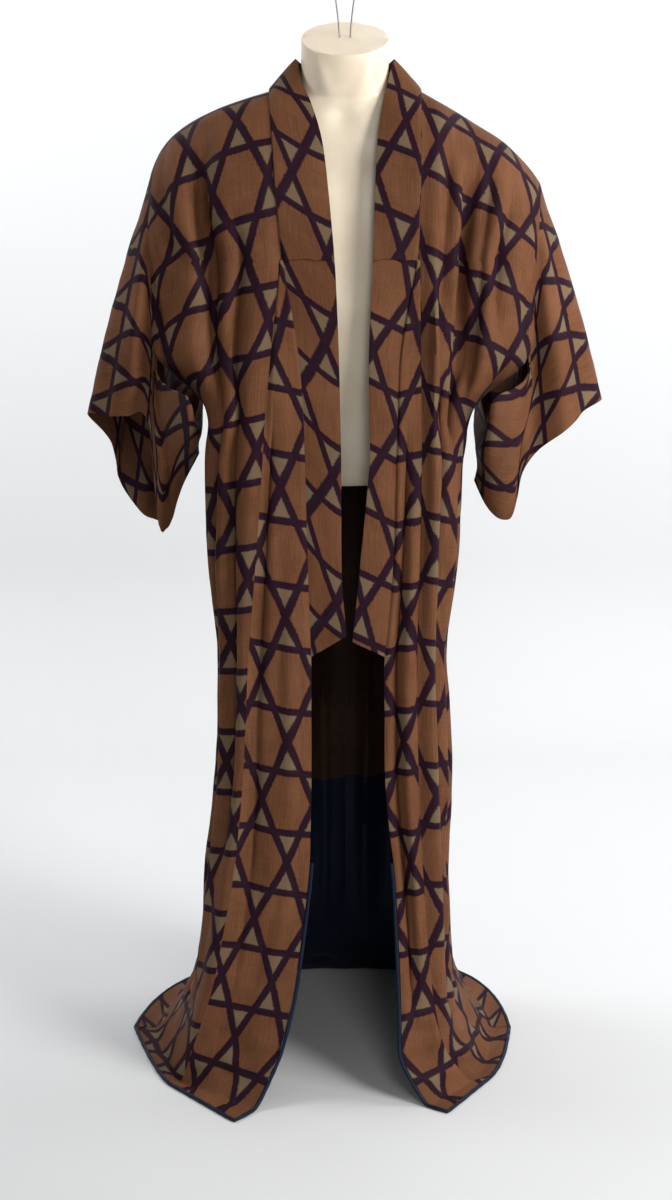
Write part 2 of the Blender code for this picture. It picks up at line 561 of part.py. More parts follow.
def round_cord(name, line, radius, finish):
    """A thin round tube along some points, its ends closed."""
    line = np.asarray(line, dtype=float)
    legs = np.diff(line, axis=0)
    legs /= np.linalg.norm(legs, axis=1, keepdims=True)
    heading = np.vstack([legs[:1], legs[:-1] + legs[1:], legs[-1:]])
    heading /= np.linalg.norm(heading, axis=1, keepdims=True)
    side = np.cross(heading[0], (0.0, 0.0, 1.0) if abs(heading[0][2]) < 0.9 else (0.0, 1.0, 0.0))
    angle = np.linspace(0, 2 * math.pi, CORD_SIDES, endpoint=False)[:, None]
    rings = []
    for place, ahead in zip(line, heading):
        side = side - ahead * np.dot(side, ahead)
        side /= np.linalg.norm(side)
        rings.append(place + radius * (np.cos(angle) * side + np.sin(angle) * np.cross(ahead, side)))
    return add_solid(name, np.vstack(rings), tube_faces(len(rings), CORD_SIDES), finish)


def tube_faces(rings, sides):
    """Faces of stacked rings of points, with a cap at each end."""
    faces = []
    for r in range(rings - 1):
        for s in range(sides):
            a, b = r * sides + s, r * sides + (s + 1) % sides
            faces.append((a, b, b + sides, a + sides))
    top = (rings - 1) * sides
    return faces + [tuple(range(sides)), tuple(range(top, top + sides))]


def form_ring(z, half_width, front_y, back_y, point=1.0, tilt=0.0):
    """One ring of the form, an oval with its own depth in front and behind."""
    angle = np.linspace(0, 2 * math.pi, FORM_SIDES, endpoint=False)
    ahead = np.cos(angle)
    x = half_width * np.sin(angle)
    y = np.where(ahead > 0, front_y * np.abs(ahead) ** point, -back_y * ahead)
    return np.column_stack([x, y, z + y * math.tan(tilt)])


def torso_form(finish):
    """The limbless form the cloth rests on: stacked rings, closed above and below."""
    rings = [form_ring(*row) for row in FORM_RINGS]
    fold_x, fold_z = zip(*SHOULDER[LEFT])
    for x, *shape in FORM_SHOULDER_RINGS:
        rings.append(form_ring(np.interp(x, fold_x, fold_z) - FORM_GAP, x, *shape))
    rings += [form_ring(*row) for row in FORM_NECK_RINGS]
    rings.append(form_ring(NECK_CUT_Z, *FORM_NECK_RINGS[-1][1:], tilt=NECK_CUT_TILT))
    return add_solid("torso_form", np.vstack(rings), tube_faces(len(rings), FORM_SIDES), finish)


def wire_points():
    """Both legs and the bow of the hanging wire, from one foot to the other."""
    half = curve_through(WIRE_ROUTE, np.linspace(0, len(WIRE_ROUTE) - 1, 13))
    left = [(x, 0.0, NECK_CUT_Z + z) for x, z in half]
    return left + [(-x, y, z) for x, y, z in left[-2::-1]]


def lining_grids(grid, normal):
    """The lining of one back, its points moved in: upper part and hem part."""
    inside = grid - normal * (CLOTH / 2 + SEAM_GAP + LINING / 2)
    inside[:, :, 2] = np.maximum(inside[:, :, 2], LINING / 2)
    heights = grid[:, :, 2].mean(axis=1)
    top = int(np.argmax(heights < LINING_TOP_Z))
    join = int(np.argmin(np.abs(heights - LINING_JOIN_Z)))
    return (inside[top:join + 1], normal[top:join + 1]), (inside[join:], normal[join:])


def build():
    clear_scene()
    silk = {tone: material(f"kasuri_silk_{tone}", colour, 0.72, 0.3) for tone, colour in (
        ("body", (0.21, 0.085, 0.035)), ("sleeve", (0.24, 0.10, 0.042)),
        ("overlap", (0.26, 0.11, 0.046)), ("collar", (0.23, 0.095, 0.04)))}
    brown = material("upper_lining_silk", (0.045, 0.022, 0.012), 0.6)
    navy = material("hem_lining_silk", (0.006, 0.014, 0.035), 0.55)

    grids = {(part, side): panel_grid(side, part)
             for part in ("front", "back", "overlap") for side in (RIGHT, LEFT)}
    normals = body_normals(grids)
    collar, collar_lean = collar_grid(grids, normals)
    sleeves = {side: sleeve_with_normals(side, grids, normals) for side in (RIGHT, LEFT)}
    for (part, side), grid in grids.items():
        tone = "overlap" if part == "overlap" else "body"
        first = SEAM_GAP if part == "overlap" else SEAM_GAP / 2
        cloth_wall(f"{part}_{side}", trimmed(grid, first=first), normals[part, side],
                   CLOTH, silk[tone], side)
        round_cord(f"hem_roll_{part}_{side}", hem_roll_path(side, part, grid),
                   ROLL_RADIUS, navy)
    for side in (RIGHT, LEFT):
        sleeve, lean = sleeves[side]
        cloth_wall(f"sleeve_{side}", sleeve, lean, CLOTH, silk["sleeve"], side, closed=True)
        upper, lower = lining_grids(grids["back", side], normals["back", side])
        cloth_wall(f"lining_{side}", trimmed(upper[0], 0.0003, 0.002, 0.0, SEAM_GAP / 2),
                   upper[1], LINING, brown, side)
        cloth_wall(f"hem_lining_{side}", trimmed(lower[0], 0.0003, 0.002, SEAM_GAP / 2, 0.0),
                   lower[1], LINING, navy, side)
    cloth_wall("collar", trimmed(collar, SEAM_GAP, 0.0), collar_lean, COLLAR_CLOTH,
               silk["collar"])
    kept = collar[:, 0, 2] >= OVER_COLLAR_END_Z
    lean = collar_lean[kept]
    over = collar[kept] + lean * (COLLAR_CLOTH / 2 + SEAM_GAP + CLOTH / 2)
    cloth_wall("over_collar", trimmed(over, 0.0012, 0.0), lean, CLOTH, silk["collar"])
    torso_form(material("form_shell", (0.80, 0.74, 0.66), 0.45))
    round_cord("hanging_wire", wire_points(), WIRE_RADIUS,
               material("wire_steel", (0.35, 0.33, 0.31), 0.35, metallic=1.0))


build()
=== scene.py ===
# %% [markdown]
# # A kimono on a torso form, dressed for its picture
#
# The solids of the kimono are already made. Each piece of silk is rebuilt here on the same
# rows of points, only closer together, so that it can carry small folds. The pattern is
# drawn by the material from the cloth's own measurements.

# %% Load the solids
import math

import bmesh
import bpy
import numpy as np
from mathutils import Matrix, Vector


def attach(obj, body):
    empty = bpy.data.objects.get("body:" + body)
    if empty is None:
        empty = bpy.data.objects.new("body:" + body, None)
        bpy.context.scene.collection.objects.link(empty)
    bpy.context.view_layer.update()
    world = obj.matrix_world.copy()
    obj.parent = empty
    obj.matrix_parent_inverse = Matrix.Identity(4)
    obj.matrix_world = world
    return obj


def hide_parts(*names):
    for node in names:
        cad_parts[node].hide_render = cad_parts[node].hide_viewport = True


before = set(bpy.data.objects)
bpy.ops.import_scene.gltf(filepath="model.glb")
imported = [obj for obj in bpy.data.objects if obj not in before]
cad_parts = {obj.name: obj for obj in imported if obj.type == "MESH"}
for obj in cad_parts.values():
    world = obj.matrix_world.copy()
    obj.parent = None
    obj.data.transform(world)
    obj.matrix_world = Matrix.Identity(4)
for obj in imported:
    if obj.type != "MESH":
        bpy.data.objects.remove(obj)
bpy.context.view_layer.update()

# %% [markdown]
# ## The garment's own numbers
#
# A kimono is cut from straight strips of one bolt. These tables are the ones that the
# solids were made from, so the cloth of the picture lies exactly where the solids are.

# %% Sizes and tables of the hanging cloth
def table(columns, *numbers):
    """Rows of numbers given in thousandths: millimetres, or parts of a share."""
    return np.array(numbers).reshape(-1, columns) / 1000


# Driving sizes
CLOTH = 0.002                 # wall of the outer silk with its backing
LINING = 0.0012               # wall of the lining silk
COLLAR_CLOTH = 0.003          # the collar is folded double
SEAM_GAP = 0.0003             # clear space between pieces that are sewn together
CHEST_Z = 1.15                # here the cloth leaves the shoulder and hangs
ROLL_RADIUS = 0.0028          # padded roll along the hem
ROLL_TOP_Z = 0.33             # up to here it also edges the overlaps
ROLL_END_GAP = 0.0006         # clear space between the ends of two rolls
LINING_JOIN_Z = 0.36          # the upper lining meets the hem lining
LINING_TOP_Z = 0.93           # the back's lining isn't seen above this
SIDE_SEAM_TOP_Z = 0.87        # below this the fine front and back are sewn together
COARSE_SEAM_TOP_Z = 0.89      # the same for the coarse rows
SLEEVE_GAP = 0.0006           # clear space between body and sleeve at the armhole
ARMPIT_Z = 1.02               # the armhole seam ends here; below it both edges are open
COLLAR_TIP_Z = 0.62           # lower end of the collar
CENTRE = (0.0005, 0.0034)     # brings the middle of the whole over the origin
RIGHT, LEFT = "right", "left"
SIGN = {RIGHT: -1.0, LEFT: 1.0}

# The shoulder fold, from the collar seam out to the sleeve seam: x, z
SHOULDER = {
    RIGHT: table(2,
        100, 1362,  140, 1350,  175, 1337,  210, 1319,  236, 1298,  252, 1273,  262, 1246),
    LEFT: table(2,
        100, 1362,  140, 1340,  175, 1319,  208, 1299,  231, 1279,  247, 1262,  260, 1245),
}
# The hanging cloth, a row for each height. edge: collar seam or free edge of the overlap;
# seam: overlap seam; side: outermost line, sleeve seam above and side seam below.
LEVEL_COLUMNS = ("z", "edge_x", "edge_y", "seam_x", "seam_y", "corner_x", "corner_y",
                 "side_x", "side_front_y", "side_back_y", "back_y")
LEVELS = {
    RIGHT: table(11,
        1150, 81.5, -119.5, 84, -120, 215, -120, 258, -66, 66, 114,
        1020, 60, -127, 98, -127, 215, -127, 253, -64, 64, 117,
        950, 55, -129, 105, -129, 184, -129, 190, -40, 40, 118,
        880, 53, -130, 110, -130, 185, -130, 187, -1, 1, 119,
        750, 50, -132, 120, -132, 178, -132, 178, -1, 1, 121,
        620, 46, -135, 131, -135, 165, -135, 165, -1, 1, 123,
        450, 46, -142, 140, -141, 170, -141, 170, -1, 1, 126,
        300, 51, -150, 156, -148, 187, -148, 187, -1, 1, 131,
        160, 69, -171, 182, -158, 206, -158, 206, -1, 1, 146,
        60, 94, -199, 212, -160, 232, -145, 240, 4, 6, 172),
    LEFT: table(11,
        1150, 94.5, -119.5, 97, -120, 215, -120, 253, -66, 66, 114,
        1020, 72, -127, 100, -127, 215, -127, 247, -64, 64, 117,
        950, 70, -129, 101, -129, 168, -129, 178, -40, 40, 118,
        880, 68, -130, 102, -130, 160, -130, 164, -1, 1, 119,
        750, 65, -132, 100, -132, 145, -132, 145, -1, 1, 121,
        620, 54, -135, 97, -135, 129, -135, 129, -1, 1, 123,
        450, 55, -142, 101, -141, 137, -141, 137, -1, 1, 126,
        300, 70, -150, 109, -148, 135, -148, 135, -1, 1, 131,
        160, 77, -171, 120, -160, 147, -160, 147, -1, 1, 146,
        60, 80, -203, 140, -170, 168, -145, 180, 4, 6, 172),
}
# The hem line on the floor, in the same columns
HEM = {
    RIGHT: (0.0, 0.150, -0.269, 0.247, -0.163, 0.272, -0.120, 0.311, 0.010, 0.015, 0.262),
    LEFT: (0.0, 0.140, -0.244, 0.203, -0.148, 0.228, -0.105, 0.243, 0.010, 0.015, 0.262),
}
# How the cloth breaks on the floor: share of the way out to the hem, height over it
FLOOR_BREAK = [(0.35, 0.020), (0.62, 0.0), (0.82, 0.0), (1.0, 0.0)]

# %% Tables of the long folds
# Long folds: place across the panel above and below, half width (shares of the panel),
# depth (+ stands proud, - is a valley), and the heights between which it runs
FOLD_COLUMNS = ("at_top", "at_foot", "half_width", "depth", "z_top", "z_foot")
FOLDS = {
    "front_right": table(6,
        520, 400, 85, -22, 1330, 920,  300, 160, 60, -12, 1240, 300,
        340, 300, 60, 12, 1050, 100,  400, 440, 60, -16, 980, 60,
        560, 600, 70, 13, 950, 100,  700, 760, 65, -12, 860, 50),
    "front_left": table(6,
        360, 340, 90, -23, 1310, 860,  660, 600, 60, -10, 1260, 1020,
        100, 120, 50, 12, 1200, 120,  200, 250, 48, -14, 1150, 60,
        360, 380, 50, 12, 880, 100,  480, 520, 50, -15, 920, 70,
        640, 660, 55, 12, 880, 100,  780, 800, 55, -12, 840, 60),
    "overlap_right": table(6,
        300, 420, 120, 6, 800, 120,  800, 760, 100, -8, 980, 100),
    "overlap_left": table(6,
        400, 350, 140, -8, 950, 80,  750, 720, 130, 8, 900, 120),
    "back_right": table(6,
        140, 120, 60, -12, 1020, 60,  300, 290, 60, 13, 1100, 100,
        450, 460, 55, -13, 1180, 50,  620, 620, 60, 12, 1020, 120,
        600, 560, 60, -14, 1280, 980,  780, 780, 55, -10, 880, 60),
    "back_left": table(6,
        160, 140, 60, -11, 980, 70,  320, 300, 55, 13, 1060, 120,
        460, 480, 60, -14, 1150, 60,  640, 620, 60, 11, 980, 100,
        580, 550, 60, -15, 1290, 990,  800, 780, 55, -9, 860, 50),
}

# %% Tables of the collar and the sleeves
# The collar's free edge, by the height of its seam: z of the seam, then x, y, z of the edge
COLLAR_EDGE = {
    RIGHT: table(4,
        1362, 62.5, 0, 1402,  1333, 55, -34, 1368,  1304, 35, -67, 1324,
        1237, 22.5, -104, 1243,  1150, 13.5, -124, 1151,  1020, 8, -132, 1020,
        880, 5, -134, 880,  700, 4, -136, 701,  620, -2, -139, 650),
    LEFT: table(4,
        1362, 62.5, 0, 1402,  1333, 55, -34, 1368,  1304, 45, -67, 1324,
        1237, 39, -104, 1240,  1150, 37, -124, 1151,  1020, 31, -131, 1020,
        880, 32, -134, 880,  700, 15, -136, 701,  620, 10, -138, 642),
}
NAPE_EDGE = (0.071, 1.374)    # y and z of the free edge at the centre back
OVER_COLLAR_END_Z = 1.145     # the over-collar ends at the seam row above this height
# The sleeve bag. Its front ribs run from the armhole down to the cuff or the bag's edge;
# the first lies on the sleeve's top fold, the last on its inner fold. The top of the
# first ATTACHED ribs is the body's armhole edge; the others hang free below it.
# Its columns: x, y, z of the rib's top, of its foot, and of its foot on the back.
ATTACHED = 5
SLEEVES = {
    RIGHT: table(9,
        266.5, 0, 1243, 355, 0, 930, 355, 0, 930,
        265.5, -36, 1190, 327, -42, 934, 328, 36, 885,
        262.5, -58, 1125, 293, -55, 937, 314, 46, 822,
        259, -67, 1060, 268, -48, 934, 290, 36, 788,
        257, -69, 1022, 258, -28, 784, 268, 22, 778,
        253, -73, 1000, 243, -10, 782, 246, 6, 782,
        238, -108, 985, 231, -6, 820, 231, 4, 820,
        204, -130, 970, 214, -6, 856, 214, 4, 856,
        208, -10, 925, 203, -2, 876, 203, -2, 876),
    LEFT: table(9,
        266.5, 0, 1243, 354, 0, 952, 354, 0, 952,
        265.5, -36, 1190, 328, -40, 940, 330, 36, 944,
        260, -58, 1125, 292, -50, 913, 296, 44, 920,
        255, -67, 1060, 264, -46, 888, 267, 36, 896,
        252, -69, 1022, 245, -30, 856, 247, 24, 862,
        247, -73, 1000, 235, -9, 792, 236, 7, 794,
        231, -108, 985, 216, -5, 785, 216, 4, 785,
        193, -130, 968, 195, -5, 806, 195, 4, 806,
        196, -10, 915, 180, -2, 838, 180, -2, 838),
}
# Folds of a sleeve: rib number at the top and foot, half width in ribs, depth
SLEEVE_FOLDS = {
    RIGHT: table(4,
        3300, 3200, 500, -10,  2000, 1800, 550, 8,  1000, 900, 450, -5,
        12400, 12800, 550, -10,  13800, 14000, 550, 7),
    LEFT: table(4,
        3200, 3000, 500, -9,  2200, 1900, 550, 8,  1100, 1000, 450, -5,
        12600, 13000, 550, -9,  13800, 14100, 550, 7),
}

# Grid sizes
ACROSS = {"front": 20, "back": 14, "overlap": 7}
COLLAR_ACROSS = 3
FREE_COLUMNS = 13             # of a sleeve, between the two ends of its armhole seam
SLEEVE_ROWS = 9
ARCH_ANGLES = [math.radians(a) for a in (0, 10, 20, 30, 38, 52, 70, 90)]
NAPE_ROW = 4                  # the arch row at which the back reaches the centre
CHEST_ROW = len(ARCH_ANGLES) - 1
EXTRA_ROWS = [1, 0, 0, 0, 0, 1, 1, 0, 1, 0, 0, 0, 0]  # put between the hanging rows

# %% [markdown]
# ## From tables to rows of points
#
# Each strip is a grid: rows run across the cloth from its inner seam to its outer one,
# and columns run down from the shoulder fold to the hem.

# %% Curves through rows of numbers
def smooth(t):
    t = np.clip(t, 0.0, 1.0)
    return t * t * (3 - 2 * t)


def unit(vectors, least=1e-9):
    """The same directions, each with the length 1."""
    return vectors / np.maximum(np.linalg.norm(vectors, axis=-1, keepdims=True), least)


def lengths_along(points, axis=0):
    """Distance from the first point of a line, or from the first line of a grid."""
    gone = np.cumsum(np.linalg.norm(np.diff(points, axis=axis), axis=-1), axis=axis)
    return np.concatenate([np.zeros_like(np.take(gone, [0], axis=axis)), gone], axis=axis)


def curve_through(values, steps, rounded=True):
    """Points on a smooth curve through rows of numbers, at these row positions.

    A rounded curve bulges between its rows; the other kind never passes beyond them.
    """
    values = np.asarray(values, dtype=float)
    rows = values.reshape(len(values), -1)
    slope = np.diff(rows, axis=0)
    before, after = np.vstack([slope[:1], slope]), np.vstack([slope, slope[-1:]])
    if rounded:
        tangent = (before + after) / 2
    else:
        both = before + after
        safe = np.where(np.abs(both) < 1e-12, 1.0, both)
        tangent = np.where(before * after > 0, 2 * before * after / safe, 0.0)
    steps = np.clip(np.asarray(steps, dtype=float), 0.0, len(rows) - 1)
    start = np.minimum(steps.astype(int), len(rows) - 2)
    t = (steps - start)[:, None]
    a, b, ta, tb = rows[start], rows[start + 1], tangent[start], tangent[start + 1]
    curve = ((2 * t ** 3 - 3 * t ** 2 + 1) * a + (t ** 3 - 2 * t ** 2 + t) * ta
             + (3 * t ** 2 - 2 * t ** 3) * b + (t ** 3 - t ** 2) * tb)
    return curve.reshape(len(steps), *values.shape[1:])


def round_the_corner(start, corner, end, share, fullness=0.72):
    """Plan points from start to end, pulled towards the corner, evenly spaced."""
    start, corner, end = (np.array(p, dtype=float) for p in (start, corner, end))
    t = np.linspace(0, 1, 81)[:, None]
    one, two = start + (corner - start) * fullness, end + (corner - end) * fullness
    line = ((1 - t) ** 3 * start + 3 * (1 - t) ** 2 * t * one
            + 3 * (1 - t) * t ** 2 * two + t ** 3 * end)
    way = lengths_along(line)
    return np.column_stack([np.interp(share * way[-1], way, line[:, k]) for k in (0, 1)])

# %% Rows over the shoulder and down to the floor
def plan_row(row, part, share):
    """One level of a panel in plan: x and y from its inner to its outer line."""
    level = dict(zip(LEVEL_COLUMNS, row))
    if part == "overlap":
        inner = np.array([level["edge_x"], level["edge_y"]])
        outer = np.array([level["seam_x"], level["seam_y"]])
        return inner + np.outer(share, outer - inner)
    if part == "front":
        start, end = (level["seam_x"], level["seam_y"]), (level["side_x"], level["side_front_y"])
    else:
        start, end = (0.0, level["back_y"]), (level["side_x"], level["side_back_y"])
    corner = (level["corner_x"], level["corner_y" if part == "front" else "back_y"])
    return round_the_corner(start, corner, end, share)


def arch_rows(side, part, share):
    """Rows over the shoulder, from its fold down to the chest level."""
    fold = curve_through(SHOULDER[side], share * (len(SHOULDER[side]) - 1))
    chest = plan_row(LEVELS[side][0], part, share)
    rows = []
    for angle in ARCH_ANGLES:
        across = 1 - math.cos(angle)
        if part == "back":
            turn = min(angle / ARCH_ANGLES[NAPE_ROW], 1.0)
            across = 1 - math.sqrt(1 - turn ** 2)
        x = fold[:, 0] + (chest[:, 0] - fold[:, 0]) * across
        z = CHEST_Z + (fold[:, 1] - CHEST_Z) * math.cos(angle)
        rows.append(np.column_stack([x, chest[:, 1] * math.sin(angle), z]))
    return rows


def hanging_rows(side, part, share, floor_z):
    """Rows from below the chest down to the hem lying on the floor."""
    rows = []
    for level in LEVELS[side][1:]:
        plan = plan_row(level, part, share)
        rows.append(np.column_stack([plan, np.full(len(share), level[0])]))
    last = rows[-1]
    hem = plan_row(HEM[side], part, share)
    for reach, height in FLOOR_BREAK:
        plan = last[:, :2] + (hem - last[:, :2]) * reach
        rows.append(np.column_stack([plan, np.full(len(share), floor_z + height)]))
    return rows


def refine_rows(rows, extra):
    """Put extra rows between the given ones, on a smooth curve through them."""
    steps = []
    for i, count in enumerate(extra):
        steps += [i + k / (count + 1) for k in range(count + 1)]
    return curve_through(rows, steps + [len(rows) - 1], rounded=False)


def square_to(grid, part):
    """Unit vectors square to a grid, pointing out of the garment."""
    normal = unit(np.cross(np.gradient(grid, axis=0), np.gradient(grid, axis=1)))
    return -normal if part in ("back", "sleeve") else normal


def fold_depth(name, share, z):
    """Sum of the long folds of a panel at one row, in metres outwards."""
    depth = np.zeros(len(share))
    for fold in FOLDS[name]:
        f = dict(zip(FOLD_COLUMNS, fold))
        way = np.clip((f["z_top"] - z) / (f["z_top"] - f["z_foot"]), 0.0, 1.0)
        place = f["at_top"] + (f["at_foot"] - f["at_top"]) * way
        wander = 0.012 * np.sin(9.0 * z + 20.0 * f["at_top"])
        strength = smooth((f["z_top"] - z) / 0.14) * smooth((z - f["z_foot"]) / 0.12)
        depth += f["depth"] * strength * np.exp(-((share - place - wander) / f["half_width"]) ** 2)
    # the folds die out at the seams
    return depth * smooth(share / 0.10) * smooth((1 - share) / 0.10)


def panel_grid(side, part):
    """Points of a front, back or overlap: rows from shoulder to hem, columns outwards."""
    share = np.linspace(0, 1, ACROSS[part])
    floor_z = CLOTH / 2
    if part == "back":
        floor_z += LINING + SEAM_GAP
    chest = np.column_stack([plan_row(LEVELS[side][0], part, share),
                             np.full(len(share), CHEST_Z)])
    grid = refine_rows([chest] + hanging_rows(side, part, share, floor_z), EXTRA_ROWS)
    if part != "overlap":
        grid = np.concatenate([arch_rows(side, part, share)[:-1], grid])
    depth = np.array([fold_depth(f"{part}_{side}", share, row[:, 2]) for row in grid])
    grid += square_to(grid, part) * (1.0, 1.0, 0.2) * depth[:, :, None]
    grid[:, :, 2] = np.maximum(grid[:, :, 2], floor_z)
    return grid

# %% Directions at the seams
def share_normals(*borders):
    """Give the borders of two sewn pieces the same direction, so their walls meet."""
    mean = unit(sum(borders))
    for border in borders:
        lean = np.sum(border * mean, axis=1, keepdims=True)
        border[:] = mean / np.clip(lean, 0.6, 1.0)


def body_normals(grids):
    """Directions for the walls of both body strips and overlaps, matched at their seams."""
    normals = {key: square_to(grid, key[0]) for key, grid in grids.items()}
    for side in (RIGHT, LEFT):
        front, back, lap = (normals[part, side] for part in ("front", "back", "overlap"))
        share_normals(front[CHEST_ROW:, 0], lap[:, -1])
        joined = np.argmax(grids["front", side][:, -1, 2] < COARSE_SEAM_TOP_Z)
        share_normals(front[joined:, -1], back[joined:, -1])
        for panel, grid in ((front, grids["front", side]), (back, grids["back", side])):
            along = np.gradient(grid[0], axis=0)
            panel[0] = unit(np.column_stack([-along[:, 2], 0 * along[:, 1], along[:, 0]]))
        back[NAPE_ROW:, 0] = unit(back[NAPE_ROW:, 0] * (0.0, 1.0, 1.0))
    return normals


def trimmed(grid, inner, outer):
    """Pull the two long borders of a grid back into the piece, to leave room for a seam."""
    grid = grid.copy()
    for border, within, gap in ((grid[:, 0], grid[:, 1], inner),
                                (grid[:, -1], grid[:, -2], outer)):
        border += unit(within - border, 1e-6) * gap
    return grid


def mirrored(points, side):
    return points * np.array([SIGN[side], 1.0, 1.0])

# %% The collar's rows
def collar_side(side, grids, normals):
    """Seam, free edge and seam directions of one side, from the shoulder to the tip."""
    front, lap = grids["front", side], grids["overlap", side]
    tip = int(np.argmin(np.abs(lap[:, 0, 2] - COLLAR_TIP_Z))) + 1
    seam = np.vstack([front[:CHEST_ROW, 0], lap[:tip, 0]])
    leans = [normals["front", side][:CHEST_ROW, 0], normals["overlap", side][:tip, 0]]
    edge = COLLAR_EDGE[side]
    place = np.interp(-seam[:, 2], -edge[:, 0], np.arange(len(edge)))
    free = curve_through(edge[:, 1:], place, rounded=False)
    return mirrored(seam, side), mirrored(free, side), leans


def collar_grid(grids, normals):
    """The collar from the left tip over the nape to the right tip, and its directions."""
    left, left_free, left_leans = collar_side(LEFT, grids, normals)
    right, right_free, right_leans = collar_side(RIGHT, grids, normals)
    nape = [mirrored(grids["back", side][1:NAPE_ROW + 1, 0], side) for side in (LEFT, RIGHT)]
    seam = np.vstack([left[::-1], nape[0], nape[1][:-1][::-1], right])
    start, turn_rows = len(left), 2 * NAPE_ROW - 1
    angle = np.linspace(0, math.pi, turn_rows + 2)[1:-1]
    top = left_free[0]
    back_free = np.column_stack([top[0] * np.cos(angle), NAPE_EDGE[0] * np.sin(angle),
                                 NAPE_EDGE[1] + (top[2] - NAPE_EDGE[1]) * np.cos(angle) ** 2])
    free = np.vstack([left_free[::-1], back_free, right_free])
    share = np.linspace(0, 1, COLLAR_ACROSS)
    grid = np.array([s + np.outer(share, f - s) for s, f in zip(seam, free)])
    direction = square_to(grid, "collar")
    match_collar(direction[start - 1::-1, 0], left_leans, SIGN[LEFT])
    match_collar(direction[start + turn_rows:, 0], right_leans, SIGN[RIGHT])
    for step in range(NAPE_ROW):
        for side, row in ((LEFT, start + step), (RIGHT, start + turn_rows - 1 - step)):
            lean = normals["back", side][step + 1:step + 2, 0]
            match_collar(direction[row:row + 1, 0], [lean], SIGN[side])
    return grid, direction


def match_collar(direction, leans, sign):
    """Share the collar's directions at its seam with the panels it is sewn to."""
    done = 0
    for lean in leans:
        own = direction[done:done + len(lean)]
        turned = own * (sign, 1.0, 1.0)
        share_normals(turned, lean)
        own[:] = turned * (sign, 1.0, 1.0)
        done += len(lean)

# %% The sleeves' rows
def armhole_line(panel):
    """The body's edge that a sleeve is sewn to, shoulder to armpit, a seam's width out."""
    end = int(np.argmin(np.abs(panel[:, -1, 2] - ARMPIT_Z))) + 1
    return panel[:end, -1] + unit(panel[:end, -1] - panel[:end, -2]) * SLEEVE_GAP


def sleeve_grid(side, grids):
    """The sleeve bag as a tube: columns round it, rows from armhole to cuff."""
    lines = [armhole_line(grids[part, side]) for part in ("front", "back")]
    lines[1][0] = lines[0][0]
    sewn = len(lines[0])
    way = lengths_along(lines[0])
    place = way / way[-1] * (ATTACHED - 1)
    front = [(row[:3], row[3:6]) for row in SLEEVES[side]]
    back = [((row[0], -row[1], row[2]), row[6:9]) for row in SLEEVES[side][1:-1]][::-1]
    ribs = np.array(front + back)
    count = len(ribs)
    ribs[ATTACHED - 1, 0], ribs[count - ATTACHED + 1, 0] = lines[0][-1], lines[1][-1]
    wrapped = np.concatenate([ribs[-2:], ribs, ribs[:3]])
    free = np.linspace(ATTACHED - 1, count - ATTACHED + 1, FREE_COLUMNS + 2)[1:-1]
    steps = np.concatenate([place, free, (count - place[1:])[::-1]])
    ends = curve_through(wrapped, steps + 2)
    ends[:sewn, 0] = lines[0]
    ends[-(sewn - 1):, 0] = lines[1][1:][::-1]
    down = np.linspace(0, 1, SLEEVE_ROWS)
    grid = np.array([ends[:, 0] + (ends[:, 1] - ends[:, 0]) * t for t in down])
    out = grid - grid.mean(axis=1, keepdims=True)
    out[:, :, 2] = 0.0
    out = unit(out, 1e-6)
    bag = (steps > ATTACHED - 0.4) & (steps < count - ATTACHED + 0.4)
    for row, t in enumerate(down):
        depth = np.full(len(steps), 0.006 * math.sin(math.pi * t))
        for top, foot, width, size in SLEEVE_FOLDS[side]:
            off = steps - (top + (foot - top) * t)
            depth += size * smooth(t / 0.4) * np.exp(-(off / width) ** 2)
        depth *= smooth(t / 0.25)
        # the bag's two layers come together at its lower edge
        depth *= np.where(bag, 1 - smooth((t - 0.4) / 0.4), 1.0)
        grid[row] += out[row] * depth[:, None]
    return grid

# %% [markdown]
# ## Closer rows
#
# The tables give a row every few centimetres. Small folds need a point every five
# millimetres or so, so each grid is drawn again on smooth curves. Two strips that are
# sewn together use the same rows, so their seams stay shut.

# %% Draw a grid again with closer rows and columns
STEP = 0.0055       # distance between points of the fine cloth
WIDEST = {"front": 0.31, "back": 0.31, "overlap": 0.15}   # it sets the number of columns


def fine_steps(line):
    """Row positions that lie about one step apart along a line of points."""
    steps = [0.0]
    for i, length in enumerate(np.linalg.norm(np.diff(line, axis=0), axis=1)):
        count = max(1, int(round(length / STEP)))
        steps += [i + (k + 1) / count for k in range(count)]
    return np.array(steps)


def closer(grid, rows, columns, around=False):
    """A grid on smooth curves through a coarse one, first down and then across."""
    turned = np.swapaxes(curve_through(grid, rows), 0, 1)
    if around:
        turned = np.concatenate([turned[-2:], turned, turned[:3]])
        columns = columns + 2
    return np.swapaxes(curve_through(turned, columns), 0, 1)


coarse = {(part, side): panel_grid(side, part) for part in WIDEST for side in (RIGHT, LEFT)}
fine, row_steps, below = {}, {}, {}
for side in (RIGHT, LEFT):
    rows = row_steps[side] = fine_steps(coarse["front", side].mean(axis=1))
    below[side] = rows >= CHEST_ROW - 1e-9
    for part, width in WIDEST.items():
        columns = np.linspace(0, ACROSS[part] - 1, int(width / STEP) + 1)
        steps = rows[below[side]] - CHEST_ROW if part == "overlap" else rows
        fine[part, side] = closer(coarse[part, side], steps, columns)
print("points of a front:", fine["front", RIGHT].shape)

# %% [markdown]
# ## How far along the cloth is each point?
#
# The pattern is woven into the silk, so it has to follow the threads. Every point of a
# grid gets two lengths in metres: U across the bolt and V down it from the shoulder
# fold. They become the piece's UV map. Where the cloth slumps off the shoulder its rows
# run steeply, and they level out further down.

